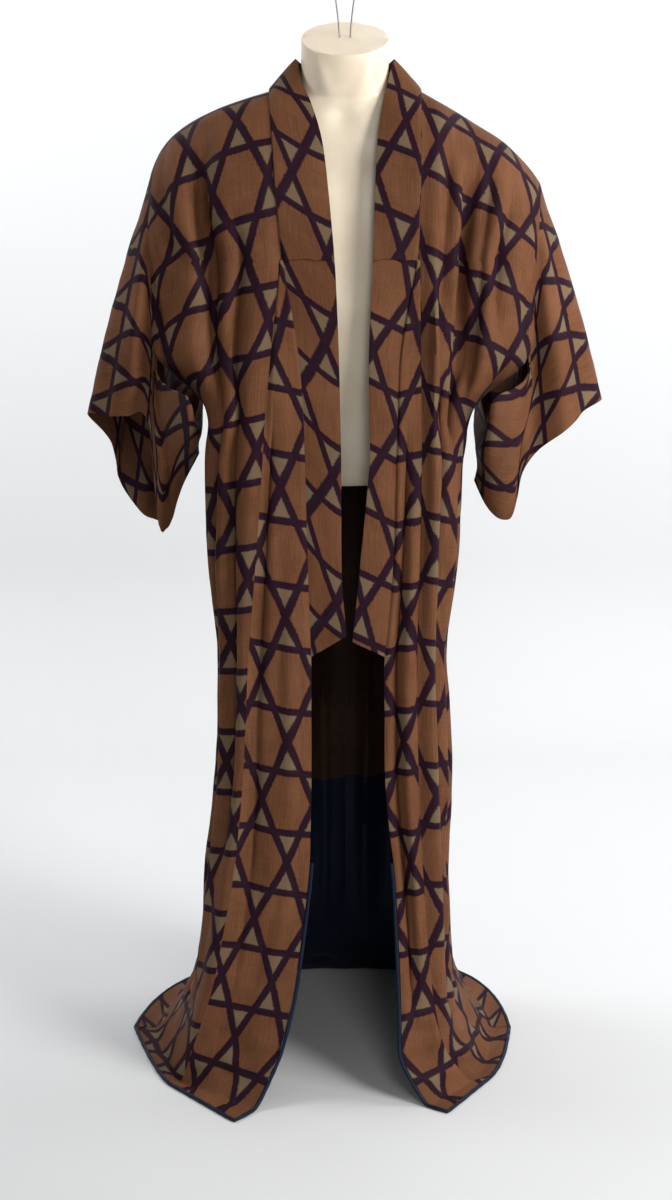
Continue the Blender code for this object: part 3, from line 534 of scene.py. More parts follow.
# %% Lengths along the threads
CHEST_EASE = 0.66
EASE = [(1.40, 1.0), (1.15, CHEST_EASE), (0.80, 0.44), (0.40, 0.34), (0.0, 0.30)]
OVERLAP_SLANT = 0.26          # fall of an overlap's threads across it, at the chest
OVERLAP_SHIFT = 0.021         # the overlap's pattern is set lower than the front's


def cloth_lengths(grid, seam_v=None):
    """U and V of a hanging panel; an overlap takes the V of its seam."""
    u = lengths_along(grid, 1)
    ease = np.interp(grid[:, :, 2].mean(axis=1), *zip(*EASE[::-1]))[:, None]
    if seam_v is not None:
        return u, seam_v[:, None] + (u - u.max(axis=1, keepdims=True)) * (
            OVERLAP_SLANT * ease / CHEST_EASE)
    v = lengths_along(grid)
    mean = v.mean(axis=1, keepdims=True)
    return u, mean + (v - mean) * ease

# %% [markdown]
# ## Small folds
#
# The solids carry the long folds. Silk that hangs from a form also has many shallow
# ones: ripples between the long folds, soft creases that fan out from the armhole, and
# a crumple where the hem breaks on the floor. They come from short tables and from a
# smooth noise with a fixed seed.

# %% A smooth noise over the cloth
def soft_noise(x, y, seed):
    """Smooth values from -1 to 1 over two arrays of positions."""
    table = np.random.RandomState(seed).uniform(-1, 1, (64, 64))
    i, j = np.floor(x).astype(int), np.floor(y).astype(int)
    s, t = smooth(x - i), smooth(y - j)
    a, b = table[i % 64, j % 64], table[(i + 1) % 64, j % 64]
    c, d = table[i % 64, (j + 1) % 64], table[(i + 1) % 64, (j + 1) % 64]
    return (a * (1 - s) + b * s) * (1 - t) + (c * (1 - s) + d * s) * t


def along_crease(u, z, crease):
    """Depth of one crease: from (u, z) to (u, z), half width, depth in metres."""
    u0, z0, u1, z1, width, depth = crease
    du, dz = u1 - u0, z1 - z0
    length = math.hypot(du, dz)
    along = ((u - u0) * du + (z - z0) * dz) / length ** 2
    off = ((u - u0) * dz - (z - z0) * du) / length
    off = off + 0.3 * width * np.sin(7 * along + 40 * u0)
    ends = smooth(along / 0.25 + 0.2) * smooth((1 - along) / 0.3 + 0.2)
    return depth * ends * np.exp(-(off / width) ** 2)


RIPPLE, FINE_RIPPLE, CRUMPLE, HEM_CRUMPLE = 0.0028, 0.0008, 0.00045, 0.0034


def small_folds(u, v, z, creases, seed):
    """Metres outwards for every point of a panel."""
    wave = soft_noise(u / 0.034 + 0.5 * soft_noise(u / 0.1, v / 0.3, seed), v / 0.42, seed + 1)
    depth = RIPPLE * wave * (0.6 + 0.4 * soft_noise(u / 0.2, v / 0.2, seed + 4))
    depth += (FINE_RIPPLE * soft_noise(u / 0.013, v / 0.11, seed + 2)
              + CRUMPLE * soft_noise(u / 0.020, v / 0.026, seed + 3))
    near_floor = smooth((0.20 - z) / 0.14)
    depth += near_floor * HEM_CRUMPLE * soft_noise(u / 0.030, v / 0.018, seed + 5)
    for crease in creases:
        depth += along_crease(u, z, crease)
    return depth


# %% Creases of each panel: u and z of its start, u and z of its end, half width, depth
CREASES = {
    "front_right": table(6,
        88, 1320, 122, 1110, 10, -8,  150, 1310, 165, 1120, 9, -4.5,
        235, 1200, 150, 1020, 10, -4.5,  225, 1160, 175, 980, 9, 4,
        215, 1240, 120, 1120, 12, -3.5,  190, 1100, 150, 900, 8, -4,
        80, 1220, 60, 980, 9, 3,  120, 1260, 95, 1050, 10, -3,
        60, 800, 110, 400, 9, 3.2,  150, 720, 160, 300, 9, -3.5,
        200, 600, 190, 220, 10, 3.5,  90, 450, 130, 120, 10, -4),
    "front_left": table(6,
        34, 1300, 40, 940, 7.5, -9,  66, 1290, 64, 960, 8, -9.5,
        50, 1270, 52, 900, 8, 6,  102, 1270, 90, 930, 8, -8,
        18, 1160, 14, 900, 6, -4,  220, 1190, 140, 1000, 10, -4.5,
        205, 1150, 165, 970, 9, 4,  200, 1240, 110, 1130, 12, -3.5,
        150, 1070, 130, 880, 8, -3.5,  70, 1240, 55, 1020, 10, 2.8,
        40, 900, 75, 480, 9, 3,  120, 780, 130, 340, 9, -3.5,
        180, 580, 170, 240, 10, 3.4,  85, 420, 110, 120, 10, -4),
    "overlap_right": table(6,
        40, 900, 70, 450, 10, 3,  110, 750, 95, 300, 10, -3.2,
        30, 400, 60, 120, 10, -3.4),
    "overlap_left": table(6,
        20, 920, 30, 500, 7, 2.2,  60, 620, 50, 280, 8, -2.6),
    "back_right": table(6,
        250, 1200, 170, 1030, 12, -5,  240, 1140, 190, 960, 10, 4.5,
        225, 1250, 110, 1160, 14, -3.5,  60, 1100, 50, 700, 12, -3.5,
        110, 950, 120, 520, 11, 3.6,  170, 850, 160, 360, 11, -3.8,
        220, 660, 240, 200, 12, 3.6,  80, 500, 90, 140, 12, 3.4),
    "back_left": table(6,
        240, 1190, 160, 1020, 12, -5,  225, 1130, 180, 950, 10, 4.5,
        210, 1250, 100, 1150, 14, -3.5,  50, 1080, 60, 660, 12, 3.5,
        120, 920, 105, 500, 11, -3.6,  160, 800, 170, 340, 11, 3.4,
        200, 620, 190, 220, 12, -3.6,  90, 460, 75, 120, 12, -3.4),
}


# %% Sharper lines for the long folds
for name in list(FOLDS):
    FOLDS["sharp " + name] = [(top, foot, 0.30 * wide, 0.42 * deep, z_top, z_foot)
                              for top, foot, wide, deep, z_top, z_foot in FOLDS[name]
                              if deep < 0]


def sharp_folds(name, grid):
    """A narrow line in the bottom of each long valley, over cloth that stands fuller."""
    share = np.linspace(0, 1, grid.shape[1])
    depth = np.array([fold_depth("sharp " + name, share, row[:, 2]) for row in grid])
    form_near = smooth((grid[:, :, 2] - 0.82) / 0.06)
    # no deeper than the form behind it allows
    return np.maximum(depth + 0.0022, -0.012 + 0.0112 * form_near)


def rest_on_floor(grid, low):
    grid[:, :, 2] = np.maximum(grid[:, :, 2], low)
    return grid


# %% Lay the panels' inner edges on the collar's seam
COLLAR_POINTS = 15            # across the collar
collar_coarse, collar_lean = collar_grid(coarse, body_normals(coarse))
collar_rows = fine_steps(collar_coarse.mean(axis=1))
collar_columns = np.linspace(0, COLLAR_ACROSS - 1, COLLAR_POINTS)
collar_fine = closer(collar_coarse, collar_rows, collar_columns)


def curve_of_lines(points, steps):
    """Points on the straight lines between points, at these positions."""
    return np.column_stack([np.interp(steps, np.arange(len(points)), x) for x in points.T])


def lay_on_seam(grid, side, rows):
    """Move the first columns of these rows so that the edge lies on the collar's seam."""
    seam = mirrored(collar_fine[:, 0], side)
    seam = seam[seam[:, 0] > 0.01]
    seam = curve_of_lines(seam, np.linspace(0, len(seam) - 1, 12 * len(seam)))
    for row in rows:
        off = seam - grid[row, 0]
        off = off[np.argmin((off ** 2).sum(axis=1))]
        for column in range(5):
            grid[row, column] += off * (1 - column / 5)


for side in (RIGHT, LEFT):
    lay_on_seam(fine["front", side], side, np.flatnonzero(row_steps[side] <= CHEST_ROW))
    lap = fine["overlap", side]
    lay_on_seam(lap, side, np.flatnonzero(lap[:, 0, 2] > COLLAR_TIP_Z + 0.01))

# %% Give the panels their small folds
lengths = {key: cloth_lengths(grid) for key, grid in fine.items() if key[0] != "overlap"}
for side in (RIGHT, LEFT):
    seam_v = lengths["front", side][1][below[side]][:, 0] + OVERLAP_SHIFT
    lengths["overlap", side] = cloth_lengths(fine["overlap", side], seam_v)
for number, key in enumerate(sorted(fine)):
    part, side = key
    grid, (u, v) = fine[key], lengths[key]
    share = np.linspace(0, 1, grid.shape[1])
    fade = (smooth(share / 0.09) * smooth((1 - share) / 0.09))[None, :]
    if part == "overlap":
        free = np.where(grid[:, :1, 2] < COLLAR_TIP_Z, 0.35, 0.0)
        fade = smooth((1 - share) / 0.16) * (free + (1 - free) * smooth(share / 0.10))
    else:
        fade = fade * smooth(lengths_along(grid) / 0.05)
    depth = small_folds(u, v, grid[:, :, 2], CREASES[f"{part}_{side}"], 11 * number + 3)
    depth += sharp_folds(f"{part}_{side}", grid)
    low = CLOTH / 2 + (LINING + SEAM_GAP if part == "back" else 0.0)
    lying = 0.25 + 0.75 * smooth((grid[:, :, 2] - low) / 0.03)
    grid = grid + square_to(grid, part) * (depth * fade * lying)[:, :, None]
    fine[key] = rest_on_floor(grid, low)

for side in (RIGHT, LEFT):
    front, back = fine["front", side], fine["back", side]
    fine["overlap", side][:, -1] = front[below[side]][:, 0]
    joined = front[:, -1, 2] < SIDE_SEAM_TOP_Z
    front[joined, -1] = back[joined, -1] = (front[joined, -1] + back[joined, -1]) / 2
    rest_on_floor(back[:, -1:], CLOTH / 2 + LINING + SEAM_GAP)

# %% [markdown]
# ## A wall for every piece
#
# Each grid gets an outer layer and an inner layer, half the wall apart on each side, and
# a narrow rim all round. The inner layer takes the colour of the lining. Where two pieces
# are sewn together their walls lean the same way, so the seam closes to a hair line.

# %% Build a cloth piece from a grid
def in_scene(name, data):
    """A new object of the scene that holds a mesh, a light or a camera."""
    made = bpy.data.objects.new(name, data)
    bpy.context.scene.collection.objects.link(made)
    return made


def add_piece(name, points, faces, materials, slots=None, uv=None):
    """A mesh object in the scene, its place in its mesh."""
    mesh = bpy.data.meshes.new(name)
    mesh.from_pydata([tuple(p) for p in points], [], faces)
    for made in materials:
        mesh.materials.append(made)
    if slots is not None:
        mesh.polygons.foreach_set("material_index", slots)
    if uv is not None:
        layer = mesh.uv_layers.new(name="Cloth")
        corner = np.empty(len(mesh.loops), dtype=np.int32)
        mesh.loops.foreach_get("vertex_index", corner)
        layer.data.foreach_set("uv", uv[corner].astype(np.float32).ravel())
    mesh.shade_smooth()
    mesh.set_sharp_from_angle(angle=math.radians(70))
    return in_scene(name, mesh)


def turn_outwards(piece):
    """Let all faces of a closed piece look out of it."""
    check = bmesh.new()
    check.from_mesh(piece.data)
    bmesh.ops.recalc_face_normals(check, faces=check.faces)
    check.to_mesh(piece.data)
    check.free()
    return piece


def cloth_piece(name, grid, lean, thickness, materials, u, v, side=LEFT, around=False):
    """Outer layer, inner layer and rim of a piece of cloth."""
    rows, columns = grid.shape[:2]
    size = rows * columns
    shift = np.array([*CENTRE, 0.0])
    half = np.broadcast_to(np.asarray(thickness) / 2, (rows, columns))[:, :, None]
    points = np.vstack([(mirrored(grid + lean * half * way, side) + shift).reshape(size, 3)
                        for way in (1, -1)])
    last = columns if around else columns - 1
    r, c = np.meshgrid(np.arange(rows - 1), np.arange(last), indexing="ij")
    a = (r * columns + c).ravel()
    b = (r * columns + (c + 1) % columns).ravel()
    out = np.column_stack([a, b, b + columns, a + columns])
    inner = np.column_stack([a, a + columns, b + columns, b]) + size
    borders = [(row * columns + np.arange(last), row * columns + np.arange(1, last + 1) % columns,
                turn) for row, turn in ((0, 1), (rows - 1, -1))]
    if not around:
        i = np.arange(rows - 1) * columns
        borders += [(i + column, i + columns + column, turn)
                    for column, turn in ((0, -1), (columns - 1, 1))]
    rim = [np.column_stack([p, p + size, q + size, q])[:, ::turn] for p, q, turn in borders]
    faces = np.vstack([out, inner, *rim])
    slots = np.zeros(len(faces), int)
    slots[len(out):len(out) + len(inner)] = 1
    uv = np.column_stack([u.ravel(), -v.ravel()])
    piece = add_piece(name, points, [tuple(f) for f in faces.tolist()], materials,
                      np.minimum(slots, len(materials) - 1), np.vstack([uv, uv]))
    print(name, len(piece.data.polygons), "faces")
    return turn_outwards(piece)


# %% [markdown]
# ## Shader sums as plain Python
#
# A pattern is arithmetic on the cloth's lengths. This small class wraps a socket, so
# that a sum written in Python adds the Math nodes that work it out.

# %% Sockets that can be added and multiplied
class Sock:
    """A node's output with Python's operators."""

    def __init__(self, tree, socket):
        self.tree, self.socket = tree, socket

    def node(self, kind, settings=None, **inputs):
        """Any node: its settings first, then the values or links of its sockets."""
        made = self.tree.nodes.new(kind)
        for key, value in (settings or {}).items():
            setattr(made, key, value)
        for key, value in inputs.items():
            socket = made.inputs[int(key[1:]) if key[0] == "_" else key.replace("_", " ")]
            if isinstance(value, Sock):
                self.tree.links.new(value.socket, socket)
            else:
                socket.default_value = value
        return made

    def math(self, operation, *values):
        ins = {f"_{i}": v for i, v in enumerate(values)}
        made = self.node("ShaderNodeMath", {"operation": operation}, **ins)
        return Sock(self.tree, made.outputs[0])

    def __add__(self, other): return self.math("ADD", self, other)
    def __radd__(self, other): return self.math("ADD", other, self)
    def __sub__(self, other): return self.math("SUBTRACT", self, other)
    def __rsub__(self, other): return self.math("SUBTRACT", other, self)
    def __mul__(self, other): return self.math("MULTIPLY", self, other)
    def __rmul__(self, other): return self.math("MULTIPLY", other, self)
    def __truediv__(self, other): return self.math("DIVIDE", self, other)
    def floor(self): return self.math("FLOOR", self)
    def fract(self): return self.math("FRACT", self)
    def abs(self): return self.math("ABSOLUTE", self)
    def least(self, other): return self.math("MINIMUM", self, other)

    def step(self, low, high, to_low=0.0, to_high=1.0):
        """A soft step from to_low to to_high as the value goes from low to high."""
        made = self.node("ShaderNodeMapRange", {"interpolation_type": "SMOOTHSTEP"}, Value=self,
                         From_Min=low, From_Max=high, To_Min=to_low, To_Max=to_high)
        return Sock(self.tree, made.outputs[0])

    def noise(self, place, scale, detail=2.0, rough=0.5):
        made = self.node("ShaderNodeTexNoise", None, Vector=place, Scale=scale, Detail=detail,
                         Roughness=rough)
        return Sock(self.tree, made.outputs[0])

    def mix(self, colour_a, colour_b):
        """Colour a where this is 0, colour b where it is 1."""
        made = self.node("ShaderNodeMix", {"data_type": "RGBA"}, _0=self, _6=colour_a, _7=colour_b)
        return Sock(self.tree, made.outputs[2])


def new_material(name, base, roughness, **settings):
    """A material's tree, its shader and a socket to start sums from."""
    made = bpy.data.materials.new(name)
    made.use_nodes = True
    made.diffuse_color = (*base, 1.0)
    shader = made.node_tree.nodes["Principled BSDF"]
    shader.inputs["Base Color"].default_value = (*base, 1.0)
    shader.inputs["Roughness"].default_value = roughness
    for key, value in settings.items():
        shader.inputs[key.replace("_", " ")].default_value = value
    return made, shader, Sock(made.node_tree, None)


def link_up(start, shader, height=None, strength=0.0, distance=0.0, **inputs):
    """Lead sums into the shader's inputs, and a height into its normal."""
    for name, value in inputs.items():
        start.tree.links.new(value.socket, shader.inputs[name.replace("_", " ")])
    if height is not None:
        bump = start.node("ShaderNodeBump", None, Height=height, Strength=strength,
                          Distance=distance)
        start.tree.links.new(bump.outputs[0], shader.inputs["Normal"])


def cloth_place(start):
    """U and V of the piece's UV map."""
    uv = start.node("ShaderNodeUVMap", {"uv_map": "Cloth"})
    split = start.node("ShaderNodeSeparateXYZ", None, Vector=Sock(start.tree, uv.outputs[0]))
    return Sock(start.tree, split.outputs[0]), Sock(start.tree, split.outputs[1])


def object_place(start):
    return Sock(start.tree, start.node("ShaderNodeTexCoord").outputs["Object"])


def together(x, y, z=0.0):
    """A vector from three numbers or sockets."""
    made = x.node("ShaderNodeCombineXYZ", None, X=x, Y=y, Z=z)
    return Sock(x.tree, made.outputs[0])


# %% [markdown]
# ## The woven lattice
#
# The silk is kasuri: its threads were dyed in places before weaving. Three families of
# dark lines cross, one along the weft and two on slants, and leave hexagons with small
# triangles between them. For each family the material works out how far a point is from
# the nearest line. Fast noise across the threads shifts each line a little, because the
# dyed threads never line up exactly.

# %% The patterned silk
WEFT_SPACING = 0.086          # between two lines along the weft
PERIOD = 0.073                # between two slanting lines of one family
SLANT = 2.356                 # rise of a slanting line for each metre across
LINE_WIDTH = 0.0100
FEATHER = 0.0009              # half the soft edge of a line
BROWN = (0.208, 0.089, 0.044, 1.0)
DARK_BROWN = (0.112, 0.046, 0.022, 1.0)
PURPLE = (0.016, 0.0045, 0.014, 1.0)
OLIVE = (0.180, 0.138, 0.086, 1.0)


def toned(colour, tone):
    return (*(c * tone for c in colour[:3]), 1.0)


def distance_to_line(turns, spacing):
    """How far off the nearest line is, where each whole number of turns is a line."""
    return ((turns + 0.5).fract() - 0.5).abs() * spacing


def patterned_silk(name, tone=1.0, shift=(0.0, 0.0)):
    made, shader, start = new_material(name, (0.20, 0.09, 0.045), 0.62, Specular_IOR_Level=0.05)
    u, v = cloth_place(start)
    u, v = u + shift[0], v + shift[1]
    # threads: feathered shifts across the weft and the warp
    weft_shift = (start.noise(together(u * 60.0, v * 1100.0), 1.0, 1.0) - 0.5) * 0.0042
    warp_shift = (start.noise(together(u * 1100.0, v * 60.0), 1.0, 1.0) - 0.5) * 0.0036
    slow = (start.noise(together(u, v), 6.0, 2.0) - 0.5) * 0.006
    us, vs = u + weft_shift + slow, v + warp_shift + slow
    rows = vs / WEFT_SPACING
    p = us / PERIOD - vs / (SLANT * PERIOD)
    q = us / PERIOD + vs / (SLANT * PERIOD) - 0.5
    slant = SLANT / math.hypot(1.0, SLANT) * PERIOD
    near = distance_to_line(rows, WEFT_SPACING).least(distance_to_line(p, slant)).least(
        distance_to_line(q, slant))
    line = near.step(LINE_WIDTH / 2 - FEATHER, LINE_WIDTH / 2 + FEATHER, 1.0, 0.0)
    triangle = (q.floor() - p.floor() - rows.floor()).abs().step(0.4, 0.6)
    # slubs and mottling of the silk
    slub = start.noise(together(u * 700.0, v * 26.0), 1.0, 3.0, 0.65)
    cross = start.noise(together(u * 40.0, v * 620.0), 1.0, 2.0, 0.6)
    patch = start.noise(together(u, v), 9.0, 3.0, 0.6)
    tint = (slub * 0.55 + cross * 0.25 + patch * 0.45 - 0.28).step(0.15, 0.62)
    ground = tint.mix(toned(DARK_BROWN, tone), toned(BROWN, tone))
    ground = (triangle * 0.65).mix(ground, toned(OLIVE, tone))
    worn = (slub * 0.8 + cross * 0.4).step(0.55, 0.95) * 0.22
    ink = worn.mix(PURPLE, toned(PURPLE, 1.8))
    link_up(start, shader, slub * 0.5 + cross * 0.5, 0.25, 0.0008,
            Base_Color=(line * 0.96).mix(ground, ink), Roughness=(slub - 0.5) * 0.18 + 0.60)
    return made


def plain_silk(name, dark, light, rough):
    """A lining: plain woven silk with a fine grain."""
    made, shader, start = new_material(name, light, rough, Specular_IOR_Level=0.15)
    u, v = cloth_place(start)
    grain = start.noise(together(u * 500.0, v * 60.0), 1.0, 3.0, 0.6)
    patch = start.noise(together(u, v), 7.0, 3.0, 0.6)
    tint = (grain * 0.5 + patch * 0.6 - 0.05).step(0.25, 0.8)
    link_up(start, shader, grain, 0.2, 0.0006,
            Base_Color=tint.mix((*dark, 1.0), (*light, 1.0)))
    return made


# Inside the sleeves the same silk is used at tone 0.8: painted shade for the inside of the bag.
silk = {key: patterned_silk("Kasuri " + key, tone, shift) for key, tone, shift in (
    ("body right", 1.0, (0.010, 0.020)), ("body left", 1.0, (0.031, 0.055)),
    ("back", 0.98, (0.0, 0.020)), ("sleeve", 1.05, (0.015, 0.040)),
    ("sleeve inside", 0.8, (0.045, 0.020)), ("overlap", 1.06, (0.022, 0.000)),
    ("collar", 1.0, (0.018, 0.010)))}
brown_lining = plain_silk("Upper lining silk", (0.030, 0.016, 0.009), (0.080, 0.043, 0.026),
                          0.55)
navy_lining = plain_silk("Hem lining silk", (0.0050, 0.0085, 0.021), (0.011, 0.020, 0.046),
                         0.5)

# %% [markdown]
# ## The body strips and the front overlaps
#
# On the real kimono one strip runs from the front hem over the shoulder to the back hem
# on each side, and a narrow overlap is sewn to each front. Every piece takes the place of
# its solid, which is hidden.

# %% Sew the body together
normals = {key: square_to(grid, key[0]) for key, grid in fine.items()}
for side in (RIGHT, LEFT):
    front, back, lap = (normals[part, side] for part in ("front", "back", "overlap"))
    share_normals(front[int(np.argmax(below[side])):, 0], lap[:, -1])
    joined = int(np.argmax(fine["front", side][:, -1, 2] < SIDE_SEAM_TOP_Z))
    share_normals(front[joined:, -1], back[joined:, -1])
    share_normals(front[0], back[0])
    nape = int(np.argmax(row_steps[side] >= NAPE_ROW))
    back[nape:, 0] = unit(back[nape:, 0] * (0.0, 1.0, 1.0))


def claim(piece, node):
    """A piece rides on the one body and stands for its solid."""
    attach(piece, "root")
    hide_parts(node)


def flat_area(grid):
    """Area of a grid as it would lie flat."""
    corner = grid[:-1, :-1]
    square = np.cross(grid[1:, :-1] - corner, grid[:-1, 1:] - corner)
    return float(np.linalg.norm(square, axis=2).sum())


def declare(piece, node, slot, grid, u, v, rests_on, with_pieces=()):
    """Attach a piece of cloth to the body and hide its solid. Its flat size is worked out, but not
    kept.
    """
    claim(piece, node)
    wide, tall = float(np.ptp(u)), float(np.ptp(v))
    area = min(flat_area(grid), 0.99 * (wide * tall))


body = {}
for (part, side), grid in fine.items():
    outer = silk[f"body {side}" if part == "front" else part]
    piece = cloth_piece(f"Silk_{part}_{side}", grid, normals[part, side], CLOTH,
                        [outer, brown_lining, navy_lining], *lengths[part, side], side)
    centres = np.empty(len(piece.data.polygons) * 3)
    piece.data.polygons.foreach_get("center", centres)
    low = centres.reshape(-1, 3)[:, 2] < LINING_JOIN_Z
    slots = np.empty(len(low), dtype=np.int32)
    piece.data.polygons.foreach_get("material_index", slots)
    slots[(slots == 1) & low] = 2
    piece.data.polygons.foreach_set("material_index", slots)
    body[part, side] = piece

# %% [markdown]
# ## The padded hem
#
# The lining is turned to the front over a thin wad of cotton, so a narrow navy roll shows
# all along the hem and up the lower front edges. It is a round cord here, slightly
# uneven, laid against the edge of the cloth.

# %% Roll the hem
def hem_roll_path(side, part, grid):
    """Middle of the padded roll: just outside the hem, and up the overlap's free edge."""
    edge = grid[-1, :, :2]
    along = np.gradient(edge, axis=0)
    out = unit(np.column_stack([-along[:, 1], along[:, 0]]))
    out *= np.sign(np.sum(out * (edge - grid[-2, :, :2]), axis=1, keepdims=True))
    off = ROLL_RADIUS + SEAM_GAP + 0.0001
    line = np.column_stack([edge + out * off, np.full(len(edge), ROLL_RADIUS)])
    if part == "overlap":
        low = grid[:-1, 0, 2] < ROLL_TOP_Z
        rise = grid[:-1][low][:, 0]
        way = unit(rise - grid[:-1][low][:, 1])
        rise = rise + way * off
        rise[:, 2] = np.maximum(rise[:, 2], ROLL_RADIUS)
        corner = np.append(edge[0] + (line[0, :2] - edge[0]) * 0.7 + way[-1, :2] * off * 0.7,
                           ROLL_RADIUS)
        line = np.vstack([rise[:-1], corner, line[1:]])
    else:
        line[0] += unit(line[1] - line[0]) * ROLL_END_GAP
    line[-1] += unit(line[-2] - line[-1]) * ROLL_END_GAP
    return mirrored(line, side)


ROLL_SIDES = 10
ROLL_POINTS = 150             # along a roll, at most
ROLL_UNEVEN = 0.14


def roll_mesh(name, line):
    """A tube along points, a little thicker and thinner along its way."""
    line = np.asarray(line, dtype=float) + (*CENTRE, 0.0)
    legs = unit(np.diff(line, axis=0))
    heading = unit(np.vstack([legs[:1], legs[:-1] + legs[1:], legs[-1:]]))
    side = np.cross(heading[0], (0.0, 0.0, 1.0) if abs(heading[0][2]) < 0.9 else (0.0, 1.0, 0.0))
    angle = np.linspace(0, 2 * math.pi, ROLL_SIDES, endpoint=False)[:, None]
    points, uv = [], []
    for place, ahead, way in zip(line, heading, lengths_along(line)):
        side = unit(side - ahead * np.dot(side, ahead))
        swell = 0.5 + 0.5 * math.sin(way * 210 + 3 * math.sin(way * 40))
        points.append(place + ROLL_RADIUS * (1 - ROLL_UNEVEN * swell) * (
            np.cos(angle) * side + np.sin(angle) * np.cross(ahead, side)))
        uv += [(k * 2 * math.pi * ROLL_RADIUS / ROLL_SIDES, way) for k in range(ROLL_SIDES)]
    top = (len(line) - 1) * ROLL_SIDES
    faces = []
    for i in range(0, top, ROLL_SIDES):
        for s in range(ROLL_SIDES):
            a, b = i + s, i + (s + 1) % ROLL_SIDES
            faces.append((a, b, b + ROLL_SIDES, a + ROLL_SIDES))
    faces += [tuple(range(ROLL_SIDES))[::-1], tuple(range(top, top + ROLL_SIDES))]
    return turn_outwards(add_piece(name, np.vstack(points), faces, [navy_lining], None,
                                   np.array(uv)))


rolls = {}
for (part, side), grid in fine.items():
    line = hem_roll_path(side, part, grid)
    keep = np.linspace(0, len(line) - 1, min(len(line), ROLL_POINTS)).round().astype(int)
    roll = rolls[part, side] = roll_mesh(f"Hem_roll_{part}_{side}", line[np.unique(keep)])
    claim(roll, f"hem_roll_{part}_{side}")

for (part, side), piece in body.items():
    declare(piece, f"{part}_{side}",
            "kasuri_silk_overlap" if part == "overlap" else "kasuri_silk_body",
            fine[part, side], *lengths[part, side], "torso_form", [rolls[part, side]])

# %% [markdown]
# ## The lining of the back
#
# Through the open front the inside of the back shows: dark brown silk above and navy
# silk below, joined by a level seam, a hair inside the outer silk.

# %% Hang the lining
for side in (RIGHT, LEFT):
    grid, lean = fine["back", side], normals["back", side]
    inside = rest_on_floor(grid - lean * (CLOTH / 2 + SEAM_GAP + LINING / 2), LINING / 2)
    heights = grid[:, :, 2].mean(axis=1)
    top = int(np.argmax(heights < LINING_TOP_Z))
    join = int(np.argmin(np.abs(heights - LINING_JOIN_Z)))
    for name, finish, slot, rows in (
            ("lining", brown_lining, "upper_lining_silk", slice(top, join + 1)),
            ("hem_lining", navy_lining, "hem_lining_silk", slice(join, None))):
        u, v = (x[rows] for x in lengths["back", side])
        piece = cloth_piece(f"Silk_{name}_{side}", trimmed(inside[rows], 0.0, 0.002), lean[rows],
                            LINING * 0.8, [finish], u, v, side)
        declare(piece, f"{name}_{side}", slot, inside[rows], u, v, "torso_form")

# %% [markdown]
# ## The collar
#
# A kimono's collar is one long folded strip that runs from tip to tip behind the neck.
# Its free edge is a round, full fold, while its seam edge is flat. The over-collar, a
# second shorter strip, protects the part that touches the neck.

# %% Fold the collar
COLLAR_FULL = 0.0016          # how far its middle stands proud
lean = unit(closer(collar_lean, collar_rows, collar_columns))
u, v = lengths_along(collar_fine, 1), lengths_along(collar_fine)
share = np.linspace(0, 1, COLLAR_POINTS)[None, :]
fold = COLLAR_FULL * np.sin(math.pi * share) ** 0.8
waves = 0.0013 * soft_noise(u / 0.05, v / 0.07, 77) + 0.0005 * soft_noise(u / 0.02, v / 0.03, 78)
waves += 0.0018 * soft_noise(u / 0.09 + 3, v / 0.16, 79) * smooth(share / 0.5)
puff = fold + waves * smooth(share / 0.3)
collar_fine = collar_fine + lean * (puff * 0.6)[:, :, None]
wall = COLLAR_CLOTH * (0.75 + 0.25 * np.sin(math.pi * share) ** 0.7)
wall = np.broadcast_to(wall * np.where(share > 0.93, 0.72, 1.0), u.shape)
collar = cloth_piece("Silk_collar", trimmed(collar_fine, 0.0002, 0.0), lean, wall,
                     [silk["collar"], brown_lining], u, v)
declare(collar, "collar", "kasuri_silk_collar", collar_fine, u, v, "torso_form")

kept = collar_fine[:, 0, 2] >= OVER_COLLAR_END_Z
over_wall = CLOTH * np.where(share < 0.05, 0.35, 1.0) * np.ones_like(u[kept])
over_fine = collar_fine[kept] + lean[kept] * (COLLAR_CLOTH / 2 + SEAM_GAP + CLOTH / 2)
for end, way in ((0, 1), (-1, -1)):
    wave = 0.0012 * np.sin(9.0 * share[0] + 2 * way) - 0.0006 * np.sin(23 * share[0])
    over_fine[end, :, 2] += wave
over = cloth_piece("Silk_over_collar", trimmed(over_fine, 0.0012, 0.0), lean[kept], over_wall,
                   [silk["collar"]], u[kept] + 0.013, v[kept] + 0.034)
declare(over, "over_collar", "kasuri_silk_collar", over_fine, u[kept], v[kept], "collar")

# %% [markdown]
# ## The sleeves
#
# Each sleeve is one length of the bolt folded over at the top, so its threads run down
# from the fold on both faces. The cuff stays open, and the lower edge falls together.

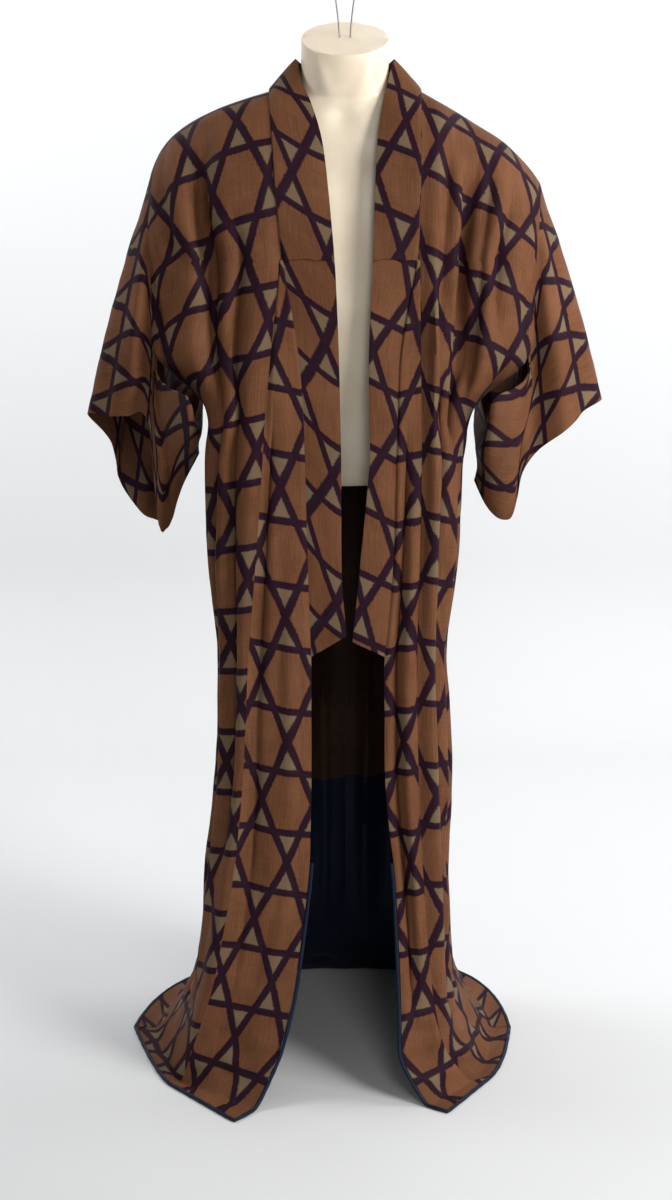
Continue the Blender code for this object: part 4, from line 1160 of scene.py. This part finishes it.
# %% Hang the sleeves
SLEEVE_CREASES = {
    RIGHT: table(6,
        50, 100, 240, 220, 10, -4.5,  30, 160, 260, 260, 10, 4,
        20, -100, 240, -200, 10, -4.5,  60, 300, 220, 340, 9, -4,
        20, 50, 300, 90, 12, 3,  100, -280, 250, -340, 10, 3.5),
    LEFT: table(6,
        50, 110, 220, 200, 10, -4.5,  30, 170, 250, 280, 10, 4,
        20, -110, 220, -220, 10, -4.5,  50, 310, 200, 330, 9, -4,
        20, 50, 280, 80, 12, 3,  100, -270, 220, -320, 10, 3.5),
}
SLEEVE_ROUND, SLEEVE_LONG = 0.80, 0.30     # these set the number of columns and rows
FOLD_SHARE = 0.45             # how much of the cloth in folds counts for the pattern
BLUR = 41                     # columns over which the pattern's width is evened
blur = np.hanning(BLUR) / np.hanning(BLUR).sum()
for number, side in ((len(RIGHT), RIGHT), (len(LEFT), LEFT)):
    bag = sleeve_grid(side, coarse)
    across = np.linspace(0, bag.shape[1], int(SLEEVE_ROUND / STEP) + 1)[:-1]
    down = np.linspace(0, SLEEVE_ROWS - 1, int(SLEEVE_LONG / STEP))
    grid = closer(bag, down, across, around=True)
    # the pattern's lengths: V round the bag from its top fold, U back from the cuff
    ring = np.linalg.norm((np.roll(grid, -1, axis=1) - grid) * (1.0, FOLD_SHARE, 1.0), axis=2)
    ring = np.broadcast_to(ring.mean(axis=0), ring.shape)
    v = np.cumsum(ring, axis=1) - ring
    v = np.where(v > v[:, -1:] / 2, v - ring.sum(axis=1, keepdims=True), v)
    reach = lengths_along(grid)[-1]
    reach = np.convolve(np.tile(reach, 3), blur, "same")[len(reach):-len(reach)]
    u = WIDEST["front"] - np.linspace(1, 0, len(down))[:, None] * reach[None, :]
    depth = 0.0016 * soft_noise(u / 0.16, v / 0.036, 91 + number) + 0.0006 * soft_noise(
        u / 0.02, v / 0.03, 95 + number)
    for crease in SLEEVE_CREASES[side]:
        depth += along_crease(u, v, crease)
    along = np.linspace(0, 1, len(down))[:, None]
    depth *= smooth(along / 0.12) * (0.5 + 0.5 * smooth((1 - along) / 0.1))
    depth *= 1 - 0.7 * smooth((np.abs(v) - 0.30) / 0.06) * smooth((along - 0.4) / 0.3)
    turn = (np.roll(grid, -1, axis=1) - np.roll(grid, 1, axis=1)) / 2
    way = unit(np.cross(turn, np.gradient(grid, axis=0)))
    grid = grid + way * depth[:, :, None]
    # the inner faces take the darker copy of the silk, painted shade inside the bag
    piece = cloth_piece(f"Silk_sleeve_{side}", grid, way, CLOTH * 0.9,
                        [silk["sleeve"], silk["sleeve inside"]], u, v, side, around=True)
    # the sheet's true lengths: from armhole to cuff, and once round both faces
    once_round = lengths_along(np.concatenate([grid, grid[:, :1]], axis=1), 1)
    declare(piece, f"sleeve_{side}", "kasuri_silk_sleeve", grid, lengths_along(grid), once_round,
            f"front_{side}")

# %% [markdown]
# ## The torso form and its wire
#
# The form is a smooth cream shell with a slanted cut at the neck. The solid's flat facets
# are smoothed by subdivision, with a crease kept round the cut and at the wire's ends.

# %% Smooth the form
def smooth_copy(node, name, finish, levels):
    """A subdivided copy of a solid. Its sharp edges are creased, but not below the neck."""
    bpy.ops.object.select_all(action="DESELECT")
    piece = in_scene(name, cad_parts[node].data.copy())
    piece.data.materials.clear()
    piece.data.materials.append(finish)
    piece.select_set(True)
    bpy.context.view_layer.objects.active = piece
    bpy.ops.object.mode_set(mode="EDIT")
    bpy.ops.mesh.select_all(action="SELECT")
    bpy.ops.mesh.remove_doubles(threshold=0.00002)
    bpy.ops.mesh.tris_convert_to_quads(face_threshold=math.radians(50),
                                       shape_threshold=math.radians(60))
    bpy.ops.mesh.select_all(action="DESELECT")
    bpy.ops.mesh.select_mode(type="EDGE")
    bpy.ops.mesh.edges_select_sharp(sharpness=math.radians(40))
    bpy.ops.transform.edge_crease(value=0.9)
    bpy.ops.object.mode_set(mode="OBJECT")
    for edge, crease in zip(piece.data.edges, piece.data.attributes["crease_edge"].data):
        if 0.95 < piece.data.vertices[edge.vertices[0]].co.z < 1.385:
            crease.value = 0.0
    finer = piece.modifiers.new("Smooth", "SUBSURF")
    finer.levels = finer.render_levels = levels
    bpy.ops.object.modifier_apply(modifier="Smooth")
    bpy.ops.object.shade_smooth_by_angle(angle=math.radians(40))
    piece.select_set(False)
    claim(piece, node)
    print(name, len(piece.data.polygons), "faces")
    return piece


shell, shader, start = new_material("Form shell", (0.92, 0.80, 0.61), 0.38)
cloud = start.noise(object_place(start), 14.0, 3.0, 0.6)
grain = start.noise(object_place(start), 160.0, 2.0, 0.5)
link_up(start, shader, cloud * 0.7 + grain * 0.3, 0.12, 0.002, Roughness=(grain - 0.5) * 0.2 + 0.36,
        Base_Color=cloud.step(0.3, 0.75).mix((0.86, 0.735, 0.565, 1.0), (0.94, 0.84, 0.665, 1.0)))
form = smooth_copy("torso_form", "Form_torso", shell, 3)

for vertex in form.data.vertices:
    x, y, z = vertex.co
    if y > -0.01 or abs(x) > 0.052 or not 1.10 < z < 1.455:
        continue
    # the notch between the collarbones, the neck's two cords and the breastbone's groove
    rise = -0.0045 * math.exp(-((x + 0.003) ** 2 + (z - 1.330) ** 2) / 0.016 ** 2)
    for x_low, x_high in ((0.012, 0.048), (-0.015, -0.050)):
        part_way = min(max((z - 1.345) / 0.080, 0.0), 1.0)
        middle = x_low + (x_high - x_low) * part_way
        fade = smooth((z - 1.335) / 0.05) * smooth((1.455 - z) / 0.05)
        rise += 0.0026 * fade * math.exp(-((x - middle) / 0.011) ** 2)
    rise -= 0.0022 * math.exp(-(x / 0.016) ** 2) * smooth((1.31 - z) / 0.08)
    vertex.co += Vector((0.0, -rise * smooth((0.052 - abs(x)) / 0.02), 0.0))

steel, shader, start = new_material("Drawn wire", (0.35, 0.33, 0.31), 0.35, Metallic=1.0)
streak = start.noise(object_place(start), 900.0, 2.0, 0.5)
link_up(start, shader, Roughness=(streak - 0.5) * 0.3 + 0.36)
smooth_copy("hanging_wire", "Form_wire", steel, 1)

# %% [markdown]
# ## Floor, light and camera
#
# The kimono stands before plain white paper. Two wide soft lights come from the right of
# the picture, one high and one low, so the left sides of the folds stay darker. A weaker
# one fills the front, and two light the wall. The camera looks slightly down from 2.7 m.

# %% Lay the floor and the wall
# a floor that curves up into a wall
BEND = 0.35
outline = [(-3.2, 0.0)] + [(1.30 + BEND * math.sin(a), BEND - BEND * math.cos(a))
                           for a in np.linspace(0, math.pi / 2, 13)] + [(1.65, 3.2)]
points = [(x, y, z - 0.0002) for x in (-3.5, 3.5) for y, z in outline]
n = len(outline)
paper, shader, start = new_material("White paper", (0.735, 0.750, 0.765), 0.9)
# seen from behind the paper is clear, so that the kimono's back can be looked at
nodes, links = paper.node_tree.nodes, paper.node_tree.links
both = nodes.new("ShaderNodeMixShader")
links.new(nodes.new("ShaderNodeNewGeometry").outputs["Backfacing"], both.inputs[0])
links.new(shader.outputs[0], both.inputs[1])
links.new(nodes.new("ShaderNodeBsdfTransparent").outputs[0], both.inputs[2])
links.new(both.outputs[0], nodes["Material Output"].inputs["Surface"])
add_piece("Backdrop", points, [(i, i + n, i + n + 1, i + 1) for i in range(n - 1)],
                   [paper])

# name, place, target, size, power, colour
LIGHTS = [("Window", (1.95, -1.6, 2.2), (0, 0, 1.2), 0.9, 46, (1.0, 0.98, 0.95)),
          ("Low side", (2.1, -1.15, 1.15), (0, 0, 0.9), 0.7, 20, (1.0, 0.98, 0.96)),
          ("Front", (0.5, -2.6, 2.5), (0, 0, 1.35), 0.9, 14, (1.0, 0.975, 0.94)),
          ("Wall right", (1.5, 0.5, 2.3), (0.8, 1.65, 1.0), 1.2, 24, (1, 1, 1)),
          ("Wall left", (-1.5, 0.5, 2.3), (-0.8, 1.65, 1.0), 1.2, 28, (1, 1, 1))]
for name, place, target, size, power, colour in LIGHTS:
    light = bpy.data.lights.new(name, "AREA")
    light.shape = "DISK"
    light.size, light.energy, light.color = size, power, colour
    made = in_scene(name, light)
    made.location = place
    made.rotation_euler = (Vector(target) - Vector(place)).to_track_quat("-Z", "Y").to_euler()
world = bpy.data.worlds.new("Pale room")
world.use_nodes = True
world.node_tree.nodes["Background"].inputs[0].default_value = (0.98, 0.97, 0.97, 1.0)
world.node_tree.nodes["Background"].inputs[1].default_value = 0.22
bpy.context.scene.world = world
bpy.context.scene.view_settings.view_transform = "Standard"

# %% Stand the camera
lens = bpy.data.cameras.new("Camera")
lens.lens, lens.sensor_width = 60, 36
lens.shift_x = -0.0075        # the kimono stands a little right of the middle
camera = in_scene("Camera", lens)
camera.location = (CENTRE[0], -2.745 + CENTRE[1], 1.35)
camera.rotation_euler = (math.radians(76), 0, 0)
bpy.context.scene.camera = camera
